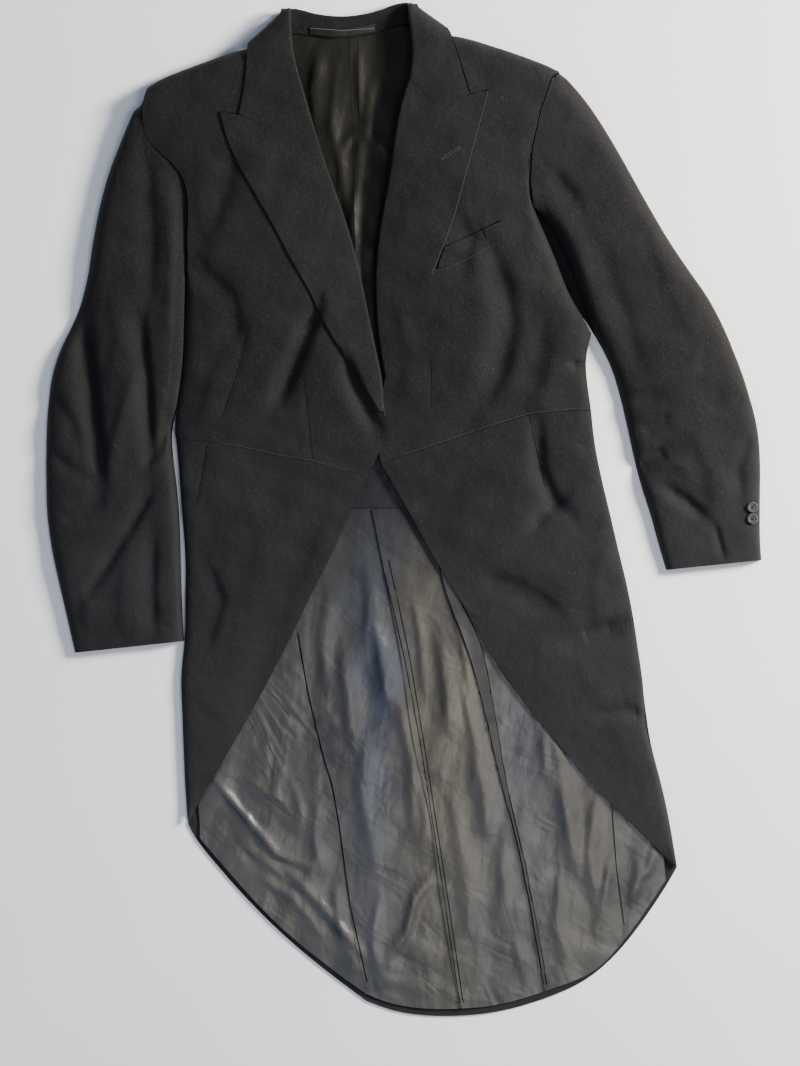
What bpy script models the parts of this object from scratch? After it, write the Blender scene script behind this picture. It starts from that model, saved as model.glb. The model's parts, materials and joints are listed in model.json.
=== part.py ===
"""A cutaway tailcoat laid flat on its back, its tails spread and its lining showing.

X runs across the coat, Y up towards the collar and Z up from the surface it lies on. The tables are
in millimetres, from the middle of the laid-out coat. Right and left are the wearer's, so the right
half lies at -X. Rows go down the coat from the collar, and each table names its columns.
"""

import math

import bpy
from mathutils import Vector
from mathutils.bvhtree import BVHTree

MM = 0.001

# Driving sizes, millimetres
WOOL = 1.6  # wall of the wool with its canvas
SATIN = 1.0  # wall of the lining
SEAM_GAP = 0.4  # between two pieces sewn edge to edge
SHADE_END = 210.0  # down to here the left under sleeve fills the gap beside the body
ARMHOLE_GAP = 1.6  # between a sleeve and the body at the armhole's curve
LAY_GAP = 0.4  # between a piece and what it lies on
FOLD_SHARE = 0.45  # how far up the coat's height its outermost fold line is
ROLL_INSIDE = 1.3  # radius inside the roll of a lapel
ROLL_RETURN = 9.0  # how far the lapel's cloth goes on below the forepart
ROLL_TURNS = 5  # flat strips round the roll
SHOULDER_ROUND = 14.0
COLLAR_ROUND = 12.0
SIDE_ROUND = 11.0
UNDER_ROUND = 9.0
BACK_LINING_LOW = 2.0  # the lining's under face over the flat back
NECK_RAISE = 2.4  # the back is held up by the collar's fall
CLOSING_LIFT = 5.2  # the right front lies on the left one at the closing
HEM_BORDER = 6.0  # wool that shows outside the lining
LINING_INSET = 13.0  # the lining stops short of the side folds
BUTTON_RADIUS = 6.0
BUTTON_THICK = 2.6
BUTTON_PITCH = 12.5
SLEEVE_ROWS = 18
STEP_APART = 0.5  # between the two edge points of a fold where it is pressed flat
STEP_SINK = 0.2  # share of the height at which a fold's side stops being upright


def table(names, *rows):
    """A table as one list for each named column."""
    return {name: [row[i] for row in rows] for i, name in enumerate(names.split())}


RIGHT_SIDE = table("up across", (468, -284), (441, -289), (412, -286), (393, -269), (375, -246),
                   (349, -238), (299, -240), (233, -243), (162, -245), (116, -252), (88, -255),
                   (72, -252), (33, -249), (-12, -246), (-56, -242), (-100, -243.5), (-146, -242),
                   (-167, -249), (-211, -247), (-267, -245), (-311, -243), (-351, -240))
RIGHT_FRONT = table("up across", (557, -125), (512, -123), (457, -109), (399, -92), (342, -72),
                    (320, -64), (273, -51), (221, -40), (177, -31), (138, -23), (95, -22), (74, -24),
                    (60, -28), (37, -40), (-4, -60), (-32, -72), (-88, -100), (-156, -133),
                    (-209, -161), (-295, -210), (-339, -236), (-348, -239))
LEFT_SIDE = table("up across", (487, 170), (477, 162), (443, 150), (401, 140), (361, 138), (339, 141),
                  (305, 157), (271, 171), (233, 186), (213, 199), (194, 208), (166, 201), (144, 203),
                  (110, 208), (77, 211), (33, 220), (-12, 231), (-56, 241), (-100, 252), (-145, 259),
                  (-189, 265), (-214, 269), (-234, 266), (-261, 274), (-300, 285), (-345, 295),
                  (-399, 304))
LEFT_FRONT = table("up across", (550, 4), (498, 9), (441, -6), (366, -17), (306, -28), (257, -32),
                   (213, -31), (162, -25), (145, -22), (128, -27), (105, -31), (80, -31), (60, -28),
                   (12, -3), (-24, 18), (-73, 44), (-97, 62), (-136, 83), (-186, 112), (-243, 158),
                   (-295, 200), (-324, 226), (-365, 270), (-386, 294), (-398, 302))
# Heights of the fronts' upper face: at the side fold, at the front edge, and the crown between
FRONT_HEIGHT = table("up side front crown", (560, 25, 26, 0), (500, 25, 28, 0), (460, 25, 26, 2),
                     (400, 23, 23, 4), (320, 20, 19, 5), (250, 17, 16, 5), (170, 15, 13, 4),
                     (110, 13, 11.5, 3), (60, 12, 11, 2), (20, 11, 9, 2), (-56, 10, 8, 1.5),
                     (-150, 9.5, 7.4, 1), (-300, 8.5, 7, 0.5), (-400, 8, 7, 0))
RIGHT_WAIST = table("across up", (-260, 79), (-216, 75), (-176, 68), (-137, 59), (-105, 54), (-41, 37),
                    (-20, 31))
LEFT_WAIST = table("across up", (-44, 44), (-4, 58), (43, 74), (84, 88), (103, 94), (138, 105),
                   (165, 109), (214, 110))
RIGHT_SHOULDER = table("across up", (-284, 468), (-269, 477), (-211, 499), (-172, 511), (-155, 510),
                       (-118, 505))
LEFT_SHOULDER = table("across up", (0, 512), (30, 520), (47, 527), (80, 519), (144, 498), (170, 487))
# Heights at which the rows of neighbouring panels lie, so that their shared seams match
BELOW_ARMHOLE = [256, 235, 216, 195, 170, 145, 120, 107, 78, 50, 15, -20, -60, -100, -140, -180, -220,
                 -260, -295]
RIGHT_ROWS = [441, 425, 412, 393, 375, 349, 315, 285] + BELOW_ARMHOLE
LEFT_ROWS = [443, 422, 401, 380, 361, 339, 305, 275] + BELOW_ARMHOLE
TAIL_ROWS = 5  # rows from the last shared height to the hem
NEAR_TOP = ((0, False), (0, True), (2, False), (6, False), (12, False))
BACK_TOP = table("across up", (-284, 468), (-269, 477), (-211, 499), (-172, 509), (-124, 525),
                 (-78, 520), (-38, 524), (3, 533), (47, 525), (80, 519), (144, 498), (170, 487))
# Edges of the back: the armhole, the side body's seam and the pleat down to the hem
BACK_RIGHT_EDGE = table("up across", (468, -283), (441, -288), (412, -285), (393, -268), (375, -245),
                        (349, -237), (290, -239), (256, -230), (170, -190), (77, -158), (-56, -133),
                        (-134, -120), (-200, -107), (-261, -93), (-304, -81), (-350, -72),
                        (-400, -67), (-465, -58), (-536, -42))
BACK_LEFT_EDGE = table("up across", (487, 169), (477, 161), (443, 149), (401, 139), (361, 137),
                       (339, 140), (305, 156), (271, 170), (240, 176), (200, 150), (140, 80), (77, 20),
                       (11, 22), (-56, 38), (-105, 50), (-152, 71), (-200, 84), (-307, 109),
                       (-380, 128), (-463, 144), (-542, 158))
CENTRE_SEAM = table("up across", (526, -62), (438, -58), (77, -49), (29, -41), (-23, -31), (-78, -20),
                    (-171, -2), (-258, 10), (-350, 32), (-411, 37), (-478, 49), (-558, 63))
SKIRT_SEAM = table("up across", (-60, 190), (-256, 218), (-328, 230), (-389, 235), (-483, 246))
HEM = table("across up", (-240, -351), (-232, -367), (-214, -389), (-176, -433), (-132, -478),
            (-77, -522), (-48, -544), (1, -561), (40, -564), (84, -562), (118, -556), (157, -544),
            (211, -522), (252, -478), (283, -433), (297, -411), (304, -399))
NECK_ROLL = table("across up", (-135, 546), (-124, 557), (-104, 551), (-69, 547), (-32, 552),
                  (1, 563), (14, 552))
NECK_SEAM = table("across up", (-170, 512), (-124, 529), (-102, 526), (-78, 523), (-38, 528), (3, 539),
                  (47, 527))
COLLAR_OUTLINE = table("across up", (-172, 516), (-149, 537), (-124, 558), (-104, 551), (-69, 547),
                       (-32, 552), (1, 564), (23, 550), (47, 533))
COLLAR_RIGHT_EDGE = table("up across", (516, -172), (499, -173), (471, -175), (449, -179), (436, -182))
COLLAR_LEFT_EDGE = table("up across", (533, 47), (523, 52), (492, 62), (458, 72))
RIGHT_NOTCH = ((-182, 436), (-148, 420))
LEFT_NOTCH = ((72, 458), (40, 439))
RIGHT_GORGE = table("across up", (-203, 439), (-182, 436), (-148, 420), (-112, 463))
LEFT_GORGE = table("across up", (6, 479), (40, 439), (72, 458), (94, 463))
LAPEL_RIGHT_EDGE = table("up across", (439, -203), (408, -195), (350, -165), (302, -137), (271, -123),
                         (245, -105), (216, -93), (162, -60), (125, -36), (108, -27))
LAPEL_LEFT_EDGE = table("up across", (463, 94), (438, 88), (376, 71), (325, 57), (297, 47), (260, 32),
                        (225, 18), (189, 3), (157, -12), (146, -18))
# Sleeves: the edge at the elbow side, the edge at the inner side, how far the row's middle sags
# towards the cuff, the height of the upper face and the roundness of its edges
RIGHT_SLEEVE = table("out_x out_y in_x in_y sag height round", (-284, 468, -246, 375, 0, 23, 14),
                     (-300, 443, -240, 338, 24, 23, 14), (-315, 408, -240, 316, 20, 22, 14),
                     (-332, 364, -242, 288, 14, 21, 13), (-346, 299, -244, 249, 6, 20, 12),
                     (-355, 233, -246, 208, 0, 19, 12), (-384, 177, -248, 162, 0, 18, 12),
                     (-396, 122, -256, 116, 0, 18, 11), (-398, 66, -259, 72, 0, 17, 10),
                     (-398, 11, -252, 22, 0, 16, 9), (-393, -39, -249, -28, 0, 15, 8),
                     (-381, -92, -248, -84, 0, 14, 7), (-366, -159, -245, -146, 0, 12, 6))
LEFT_SLEEVE = table("out_x out_y in_x in_y sag height round", (170, 487, 141, 339, 0, 23, 14),
                    (199, 458, 158, 322, -14, 23, 14), (222, 426, 171, 299, -6, 22, 14),
                    (248, 381, 184, 271, 0, 21, 13), (279, 325, 203, 218, 0, 20, 12),
                    (310, 275, 216, 188, 0, 19, 12), (341, 233, 231, 159, 0, 18, 12),
                    (367, 177, 242, 122, 0, 18, 11), (387, 119, 252, 77, 0, 17, 10),
                    (397, 64, 262, 33, 0, 16, 9), (396, 11, 274, -3, 0, 15, 7),
                    (396, -28, 283, -37, 0, 14, 5), (398, -56, 292, -67, 0, 12, 4))
PLEAT_WIDTH = table("up wide", (-80, 8), (-105, 12), (-130, 18), (-160, 15), (-200, 12), (-250, 9),
                    (-307, 5), (-380, 4), (-542, 3.5))
TUCK_WIDTH = table("up wide", (10, 12), (-35, 9), (-110, 8), (-167, 6.5), (-258, 4), (-558, 3.5))
# Folds: from and to, half width and rise (a trough has a negative rise)
FRONT_FOLDS = table("x0 y0 x1 y1 wide rise", (-101, 218, -143, 114, 11, -2.5),
                    (-89, 175, -113, 105, 9, 1.5), (-191, 288, -210, 99, 14, 0.8),
                    (107, 279, 125, 215, 11, -3), (125, 215, 91, 122, 13, -2.5),
                    (162, 224, 125, 130, 14, -1.5), (157, 25, 181, 15, 8, -3),
                    (181, 15, 141, -22, 8, -2.2), (139, 92, 157, 25, 6, -1.5),
                    (91, -75, 169, -112, 13, -1.5), (169, -149, 243, -127, 13, -1.8),
                    (218, -229, 262, -229, 7, -1.8))
LINING_FOLDS = table("x0 y0 x1 y1 wide rise", (-210, -302, -168, -352, 7, 3.0),
                     (-168, -352, -101, -398, 7, 3.0), (-130, -402, -60, -482, 7, 2.2),
                     (28, -412, 12, -430, 7, 3), (12, -430, 2, -469, 7, 3),
                     (2, -469, -18, -498, 7, 2.4), (-69, -167, -58, -256, 12, 1.5),
                     (-31, -130, -18, -211, 9, 1.8), (40, -145, 51, -234, 10, 1.5),
                     (84, -278, 92, -360, 12, 1.2), (173, -311, 190, -389, 12, 1.6),
                     (262, -408, 258, -430, 7, 1.4))
NECK_FOLDS = table("x0 y0 x1 y1 wide rise", (-95, 499, -82, 421, 8, 2.5), (-73, 488, -87, 399, 8, 1.2),
                   (-64, 499, -64, 443, 7, 2), (-36, 466, -42, 437, 8, 2.5),
                   (-58, 366, -56, 255, 8, 2.5))
RIGHT_SLEEVE_FOLDS = table("x0 y0 x1 y1 wide rise", (-356, 221, -334, 22, 11, -4),
                           (-292, 213, -281, 58, 9, -3), (-281, 58, -278, -130, 10, -1.6),
                           (-281, 16, -307, -28, 8, -2.6), (-307, -28, -356, -100, 8, -2.4),
                           (-300, 148, -334, 22, 9, 2), (-285, 388, -280, 233, 11, -1.5))
LEFT_SLEEVE_FOLDS = table("x0 y0 x1 y1 wide rise", (262, 47, 290, 68, 9, -3),
                          (266, 87, 296, 103, 9, -1.8), (290, 25, 336, -9, 8, -2.2),
                          (345, -16, 352, -50, 8, -1.2), (148, 370, 160, 349, 9, -1.8),
                          (165, 375, 195, 338, 11, -1.6))

MATERIALS = {"wool": ((0.018, 0.018, 0.021, 1), 0.92), "satin": ((0.13, 0.122, 0.112, 1), 0.38),
             "neck_satin": ((0.035, 0.033, 0.027, 1), 0.42), "horn": ((0.05, 0.05, 0.055, 1), 0.4)}


def slopes(keys, values):
    """Slopes at each row that keep a smooth line from swinging past its rows."""
    rises = [(values[i + 1] - values[i]) / (keys[i + 1] - keys[i]) for i in range(len(keys) - 1)]
    inner = [0 if a * b <= 0 else 2 * a * b / (a + b) for a, b in zip(rises, rises[1:])]
    return [rises[0]] + inner + [rises[-1]]


def read(rows, key, value, at):
    """The value column at one place of the key column, smooth between the rows."""
    pairs = sorted(zip(rows[key], rows[value]))
    keys = [pair[0] for pair in pairs]
    values = [pair[1] for pair in pairs]
    if at <= keys[0]:
        return values[0]
    if at >= keys[-1]:
        return values[-1]
    tilt = slopes(keys, values)
    i = max(n for n in range(len(keys) - 1) if keys[n] <= at)
    width = keys[i + 1] - keys[i]
    t = (at - keys[i]) / width
    start = (1 + 2 * t) * (1 - t) ** 2 * values[i] + t * (1 - t) ** 2 * width * tilt[i]
    end = t * t * (3 - 2 * t) * values[i + 1] + t * t * (t - 1) * width * tilt[i + 1]
    return start + end


def line(rows, shift=0.0):
    """A seam or edge that runs down the coat: how far across it is at each height."""
    return lambda y: read(rows, "up", "across", y) + shift


def curve(rows, shift=0.0):
    """A seam or edge that runs across the coat: how far up it is at each place across."""
    return lambda x: read(rows, "across", "up", x) + shift


def straight_curve(rows, shift=0.0):
    """The same with straight runs between its rows, as at a notch."""
    pairs = sorted(zip(rows["across"], rows["up"]))

    def up(x):
        x = min(max(x, pairs[0][0]), pairs[-1][0])
        for (x0, y0), (x1, y1) in zip(pairs, pairs[1:]):
            if x <= x1:
                return y0 + (y1 - y0) * (x - x0) / (x1 - x0) + shift
        return pairs[-1][1] + shift

    return up


def level(value):
    """An edge or a size that is the same everywhere."""
    return lambda at: value


def ease(t):
    """0 to 1, with a level start and end."""
    t = min(max(t, 0.0), 1.0)
    return t * t * (3 - 2 * t)


def folds_at(rows, x, y):
    """What all the folds of one table add to the height at a place."""
    total = 0.0
    for x0, y0, x1, y1, wide, rise in zip(*(rows[name] for name in "x0 y0 x1 y1 wide rise".split())):
        along = Vector((x1 - x0, y1 - y0))
        from_start = Vector((x - x0, y - y0))
        t = min(max(from_start.dot(along) / along.length_squared, 0.0), 1.0)
        away = (from_start - along * t).length / wide
        if away < 3:
            total += rise * math.exp(-away * away)
    return total


def front_top(half, x, y):
    """Height of the upper face of a front, without its rounded edges."""
    side = half["side"](y)
    front = half["front"](y)
    share = min(max((x - side) / (front - side), 0.0), 1.0)
    low = read(FRONT_HEIGHT, "up", "side", y) * (1 - share) + read(FRONT_HEIGHT, "up", "front", y) * share
    crown = read(FRONT_HEIGHT, "up", "crown", y) * 4 * share * (1 - share)
    near_closing = ease((y + 40) / 90) * ease((265 - y) / 110) * ease(share * 1.6 - 0.6)
    return low + crown + half["lift"] * near_closing + folds_at(FRONT_FOLDS, x, y)


RIGHT = {"side": line(RIGHT_SIDE), "front": line(RIGHT_FRONT), "lift": CLOSING_LIFT, "rows": RIGHT_ROWS}
LEFT = {"side": line(LEFT_SIDE), "front": line(LEFT_FRONT), "lift": 0.0, "rows": LEFT_ROWS}


def sink(distance, radius):
    """How full the height is at a distance from a rounded edge: 0 at its fold line, 1 past it."""
    if radius < 0.01:
        return 1.0
    t = min(distance / radius, 1.0)
    return math.sqrt(1 - (1 - t) ** 2)


def neck_raise(y):
    """How much the collar's fall below it raises the back at the neck."""
    return NECK_RAISE * ease((y - 440) / 58)


def spread(count, soft_start, soft_end):
    """Shares from 0 to 1, closer together at a rounded end, whose first share comes twice."""
    if soft_start and soft_end:
        shares = [(1 - math.cos(math.pi * i / count)) / 2 for i in range(count + 1)]
    elif soft_start:
        shares = [1 - math.cos(math.pi / 2 * i / count) for i in range(count + 1)]
    elif soft_end:
        shares = [math.sin(math.pi / 2 * i / count) for i in range(count + 1)]
    else:
        shares = [i / count for i in range(count + 1)]
    marks = [(share, False) for share in shares]
    if soft_start:
        marks.insert(1, (0.0, True))
    if soft_end:
        marks.insert(-1, (1.0, True))
    return marks


def meeting(across, up):
    """The height at which a line down the coat meets a curve across it."""
    low, high = -700.0, 700.0
    for _ in range(40):
        middle = (low + high) / 2
        if middle < up(across(middle)):
            low = middle
        else:
            high = middle
    return (low + high) / 2


def material(name):
    """One of the coat's cloths as a plain material."""
    known = bpy.data.materials.get(name)
    if known:
        return known
    colour, rough = MATERIALS[name]
    made = bpy.data.materials.new(name)
    made.use_nodes = True
    shader = made.node_tree.nodes["Principled BSDF"]
    shader.inputs["Base Color"].default_value = colour
    shader.inputs["Roughness"].default_value = rough
    return made


def sheet(name, rows, wall, faces_up, wall_out, cloth):
    """A cloth piece: rows of points in millimetres, skinned, with a wall on one side."""
    wide = len(rows[0])
    points = [Vector(point) * MM for row in rows for point in row]
    quads = [(r * wide + c, r * wide + c + 1, (r + 1) * wide + c + 1, (r + 1) * wide + c)
             for r in range(len(rows) - 1) for c in range(wide - 1)]
    mesh = bpy.data.meshes.new(name)
    mesh.from_pydata(points, [], quads)
    looks_up = sum(face.normal.z * face.area for face in mesh.polygons) > 0
    if looks_up != faces_up:
        mesh.flip_normals()
    mesh.shade_smooth()
    mesh.materials.append(material(cloth))
    piece = bpy.data.objects.new(name, mesh)
    bpy.data.collections[COAT].objects.link(piece)
    shell = piece.modifiers.new("Wall", "SOLIDIFY")
    shell.thickness = wall * MM
    shell.offset = 1.0 if wall_out else -1.0
    return piece


def between(rows, high, low):
    """The shared row heights that lie between two heights."""
    return [y for y in rows if low < y < high]


def row_heights(rows, ends, soft_top, y_top, y_bottom):
    """Heights of a column's rows, each with a mark for the step beside a rounded edge.

    ends is how many steps lead from the top to the first shared height and from the last to the
    bottom.
    """
    if isinstance(rows, int):
        shares = spread(rows, soft_top, False)
        return [(y_top + down * (y_bottom - y_top), step) for down, step in shares]
    heights = [(y_top - down, step) for down, step in NEAR_TOP] if soft_top else [(y_top, False)]
    above = heights[-1][0]
    head, tail = ends
    heights += [(above + (rows[0] - above) * i / head, False) for i in range(1, head)]
    heights += [(y, False) for y in rows]
    return heights + [(rows[-1] + (y_bottom - rows[-1]) * i / tail, False) for i in range(1, tail + 1)]


def with_columns(marks, edge_a, edge_b, places):
    """The shares across a patch, moved so that a column runs through each given place."""
    for x, y in places:
        share = (x - edge_a(y)) / (edge_b(y) - edge_a(y))
        nearest = min(range(1, len(marks) - 1), key=lambda i: abs(marks[i][0] - share))
        marks[nearest] = (share, False)
    return marks


def patch(edge_a, edge_b, top, bottom, columns, rows, height, fold=None, soft=None, places=(),
          ends=(1, 1)):
    """Rows of points between two lines down the coat and two curves across it.

    rows is a number of rows or a list of shared heights. soft gives, for "a", "b" and "top", a radius
    at each place; there the height falls or rises to fold.
    """
    soft = soft or {}
    reach = {"a": level(0), "b": level(0), "top": level(0)}
    reach.update(soft)
    columns_of_points = []
    marks = with_columns(spread(columns, "a" in soft, "b" in soft), edge_a, edge_b, places)
    for share, step_across in marks:
        def across(y, share=share):
            return edge_a(y) + share * (edge_b(y) - edge_a(y))
        y_top = meeting(across, top)
        column = []
        for y, step_down in row_heights(rows, ends, "top" in soft, y_top, meeting(across, bottom)):
            x = across(y)
            wide = abs(edge_b(y) - edge_a(y))
            apart = math.copysign(STEP_APART, edge_b(y) - edge_a(y))
            full = 1.0
            for side, distance, radius, stepped, move in (
                    ("a", share * wide, reach["a"](y), step_across, (apart, 0)),
                    ("b", (1 - share) * wide, reach["b"](y), step_across, (-apart, 0)),
                    ("top", y_top - y, reach["top"](x), step_down, (0, -STEP_APART))):
                if stepped and distance < 1e-6:
                    if radius > 0.01:
                        full *= STEP_SINK
                        continue
                    x += move[0]
                    y += move[1]
                full *= sink(distance, radius)
            z = height(x, y)
            if fold:
                z = fold(x, y) + full * (z - fold(x, y))
            column.append((x, y, z))
        columns_of_points.append(column)
    return [list(row) for row in zip(*columns_of_points)]


def open_until(start, end, radius):
    """A radius that is 0 above an opening, such as an armhole, and full below it."""
    return lambda y: radius * ease((start - y) / (start - end))


def forepart(name, half, shoulder, waist, armhole, closing):
    """The upper front, from the shoulder's fold to the waist seam."""
    inset = 3.4 if half is RIGHT else -3.4

    def front_edge(y):
        return half["front"](y) - inset * ease((y - closing + 18) / 12)

    def shoulder_round(x):
        under_collar = ease((x + 176) / 14) if half is RIGHT else ease((52 - x) / 14)
        return SHOULDER_ROUND * (1 - under_collar)

    def fold(x, y):
        return FOLD_SHARE * front_top(half, x, y) + SEAM_GAP / 2

    rows = between(half["rows"], 500, 108 if half is LEFT else 79)
    grid = patch(half["side"], front_edge, shoulder, waist, 10, rows,
                 lambda x, y: front_top(half, x, y), fold,
                 {"a": open_until(*armhole, SIDE_ROUND), "top": shoulder_round}, ends=(2, 3))
    return sheet(name, grid, WOOL, True, False, "wool")


def skirt(name, half, waist, lowest):
    """The front of a skirt, from the waist seam to its rounded tip."""
    def narrow_round(y):
        return min(SIDE_ROUND - 2, abs(half["front"](y) - half["side"](y)) / 2)

    def fold(x, y):
        return FOLD_SHARE * front_top(half, x, y) + SEAM_GAP / 2

    grid = patch(half["side"], half["front"], waist, level(lowest), 10, 13,
                 lambda x, y: front_top(half, x, y), fold, {"a": narrow_round})
    return sheet(name, grid, WOOL, True, False, "wool")


def under(name, half, edge_a, edge_b, top, bottom, columns, rows, soft, ends=(1, 1)):
    """A piece that lies flat on the surface and curls up at the coat's outer folds."""
    def fold(x, y):
        return FOLD_SHARE * front_top(half, x, y) - SEAM_GAP / 2

    grid = patch(edge_a, edge_b, top, bottom, columns, rows, level_ground, fold, soft, ends=ends)
    return sheet(name, grid, WOOL, False, False, "wool")


def level_ground(x, y):
    """The surface that the coat lies on."""
    return 0.0


def back_ground(x, y):
    """The back's under face, which the collar's fall holds up at the neck."""
    return neck_raise(y)


def rolled(name, half, edge, top, bottom, columns, rows, soft, places, ends=(1, 1)):
    """A lapel or collar wing: it lies on the front and turns round the roll to its under side."""
    outward = 1 if half is RIGHT else -1
    reach = ROLL_INSIDE + WOOL

    def roll(y):
        return half["front"](y) - outward * reach

    def over(x, y):
        return front_top(half, x, y) + LAY_GAP

    def fold(x, y):
        return FOLD_SHARE * front_top(half, x, y) + SEAM_GAP / 2

    grid = patch(edge, roll, top, bottom, columns, rows, over, fold if soft else None, soft, places, ends)
    for row in grid:
        x, y, z = row[-1]
        for turn in range(1, ROLL_TURNS + 1):
            angle = math.pi * turn / ROLL_TURNS
            row.append((x + outward * ROLL_INSIDE * math.sin(angle), y,
                        z - ROLL_INSIDE * (1 - math.cos(angle))))
        row.append((x - outward * ROLL_RETURN, y, z - 2 * ROLL_INSIDE))
    return sheet(name, grid, WOOL, True, True, "wool")


def lining_low(x, y):
    """Under face of the lining, with its folds, kept below the fronts where they cover it."""
    low = BACK_LINING_LOW + neck_raise(y)
    raised = folds_at(LINING_FOLDS, x, y) + folds_at(NECK_FOLDS, x, y)
    return low + max(raised, 0.0)


def covered_lining(x, y):
    """The lining's under face, pressed flat where a skirt lies on it."""
    raised = lining_low(x, y)
    for half, inside in ((RIGHT, lambda y: RIGHT["front"](y) - x), (LEFT, lambda y: x - LEFT["front"](y))):
        if y < 60:
            shown = ease((8 - inside(y)) / 12)
            raised = BACK_LINING_LOW + (raised - BACK_LINING_LOW) * shown
    return raised


def lining(name, edge_a, edge_b, top, bottom, columns, rows, cloth="satin"):
    """A panel of lining on the back."""
    grid = patch(edge_a, edge_b, top, bottom, columns, rows, covered_lining, ends=(1, TAIL_ROWS))
    return sheet(name, grid, SATIN, True, True, cloth)


def strip(name, edge, widths, top, bottom, rows, wall, cloth):
    """A narrow strip beside a seam, on the lining."""
    def far_edge(y):
        return edge(y) + read(widths, "up", "wide", y)

    def over(x, y):
        return covered_lining(x, y) + SATIN + LAY_GAP

    grid = patch(edge, far_edge, top, bottom, 2, rows, over, ends=(1, TAIL_ROWS))
    return sheet(name, grid, wall, True, True, cloth)


def sleeve_point(rows, half, folds, down, across, upper):
    """A point of a sleeve: down is in rows of its table and across runs from the elbow side."""
    first = {name: read_row(rows, name, down) for name in rows}
    out_x, out_y, in_x, in_y = (first[name] for name in ("out_x", "out_y", "in_x", "in_y"))
    x = out_x + across * (in_x - out_x)
    y = out_y + across * (in_y - out_y)
    chord = Vector((in_x - out_x, in_y - out_y))
    towards_cuff = Vector((chord.y, -chord.x)) * (1 if half is LEFT else -1)
    if towards_cuff.y > 0:
        towards_cuff = -towards_cuff
    towards_cuff.normalize()
    bow = first["sag"] * 4 * across * (1 - across)
    x += towards_cuff.x * bow
    y += towards_cuff.y * bow
    if down < 1:
        seam_y = rows["out_y"][0] + across * (rows["in_y"][0] - rows["out_y"][0])
        seam_x = half["side"](seam_y) + (ARMHOLE_GAP if half is LEFT else -ARMHOLE_GAP)
        straight_x = rows["out_x"][0] + across * (rows["in_x"][0] - rows["out_x"][0])
        x += (seam_x - straight_x) * (1 - ease(down))
    tall = first["height"]
    if down < 1:
        tall += (read(FRONT_HEIGHT, "up", "side", y) - tall) * (1 - ease(down))
    tall *= 0.9 + 0.1 * 4 * across * (1 - across)
    if upper:
        tall += folds_at(folds, x, y)
    return x, y, tall, chord.length, first["round"]


def read_row(rows, name, at):
    """A column between two rows, counted from the first row."""
    counted = {"row": list(range(len(rows[name]))), "value": rows[name]}
    return read(counted, "row", "value", at)


def reaching_body(rows):
    """The left under sleeve: below the armhole it goes on to the body's side, in the shade."""
    in_x = [min(x, LEFT["side"](y) + ARMHOLE_GAP) if y > SHADE_END else x
            for x, y in zip(rows["in_x"], rows["in_y"])]
    return dict(rows, in_x=in_x)


def sleeve(name, rows, half, folds, upper):
    """The upper or the under part of a sleeve laid flat, from the armhole to the cuff.

    Near the armhole the two parts meet half way up; further down the under part is pressed flat.
    """
    last = len(rows["sag"]) - 1
    grid = []
    for r in range(SLEEVE_ROWS + 1):
        down = last * r / SLEEVE_ROWS
        pressed = ease(down / 2)
        seam = FOLD_SHARE * read_row(rows, "height", down) * (1 - pressed)
        if upper:
            seam += SEAM_GAP / 2 * (1 - pressed) + (WOOL + LAY_GAP) * pressed
        else:
            seam -= SEAM_GAP / 2 * (1 - pressed)
        line_of_points = []
        for across, stepped in spread(10 if upper else 7, True, True):
            x, y, tall, wide, radius = sleeve_point(rows, half, folds, down, across, upper)
            x_middle = (read_row(rows, "out_x", down) + read_row(rows, "in_x", down)) / 2
            near = min(across, 1 - across) * wide
            open_inner = across > 0.5 and down < 0.5
            reach = radius if upper else min(radius, UNDER_ROUND)
            if open_inner:
                reach *= 2 * down
            full = sink(near, reach)
            if stepped:
                apart = 0.0 if upper else pressed
                if reach <= 0.01:
                    apart = 1.0
                full = STEP_SINK * (1 - apart) + full * apart
                x += math.copysign(STEP_APART * apart, x_middle - x)
            z = seam + full * ((tall if upper else 0.0) - seam)
            line_of_points.append((x, y, z))
        grid.append(line_of_points)
    return sheet(name, grid, WOOL, upper, False, "wool")


def stand_top(x, y):
    """Upper face of the collar's inner band: high at the roll, low at the neck seam."""
    roll = read(NECK_ROLL, "across", "up", x)
    seam = read(NECK_SEAM, "across", "up", x)
    return 7.2 + 7.0 * min(max((y - seam) / (roll - seam), 0.0), 1.0)


def collar_stand():
    """The band inside the collar, at the back of the neck."""
    grid = patch(level(-130), level(9), curve(NECK_ROLL, -1.0), curve(NECK_SEAM), 14, 4, stand_top,
                 lambda x, y: 12.8, {"top": level(4.0)})
    return sheet("collar_stand", grid, WOOL, True, False, "wool")


def collar_fall():
    """The part of the collar that turns down behind the neck, flat on the surface."""
    def fold(x, y):
        near_peaks = math.exp(-((x + 126) / 10) ** 2) + math.exp(-((x - 4) / 10) ** 2)
        return 12.2 - 5.0 * near_peaks

    grid = patch(level(-168), level(43), curve(COLLAR_OUTLINE, -0.3), level(503), 16, 4, level_ground,
                 fold, {"top": level(10.0)})
    return sheet("collar_fall", grid, WOOL, False, False, "wool")


def hanger_loop():
    """The hanging loop, sewn to the neck band at both ends."""
    def over(x, y):
        middle = 1 - ((x + 68) / 36) ** 2
        return stand_top(x, y) + LAY_GAP + 1.4 * max(middle, 0.0)

    def upper(x):
        return read(NECK_SEAM, "across", "up", x) + 9.5

    def lower(x):
        return read(NECK_SEAM, "across", "up", x) + 2.0

    grid = patch(level(-104), level(-32), upper, lower, 10, 2, over)
    return sheet("hanger_loop", grid, SATIN, True, True, "neck_satin")


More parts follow.
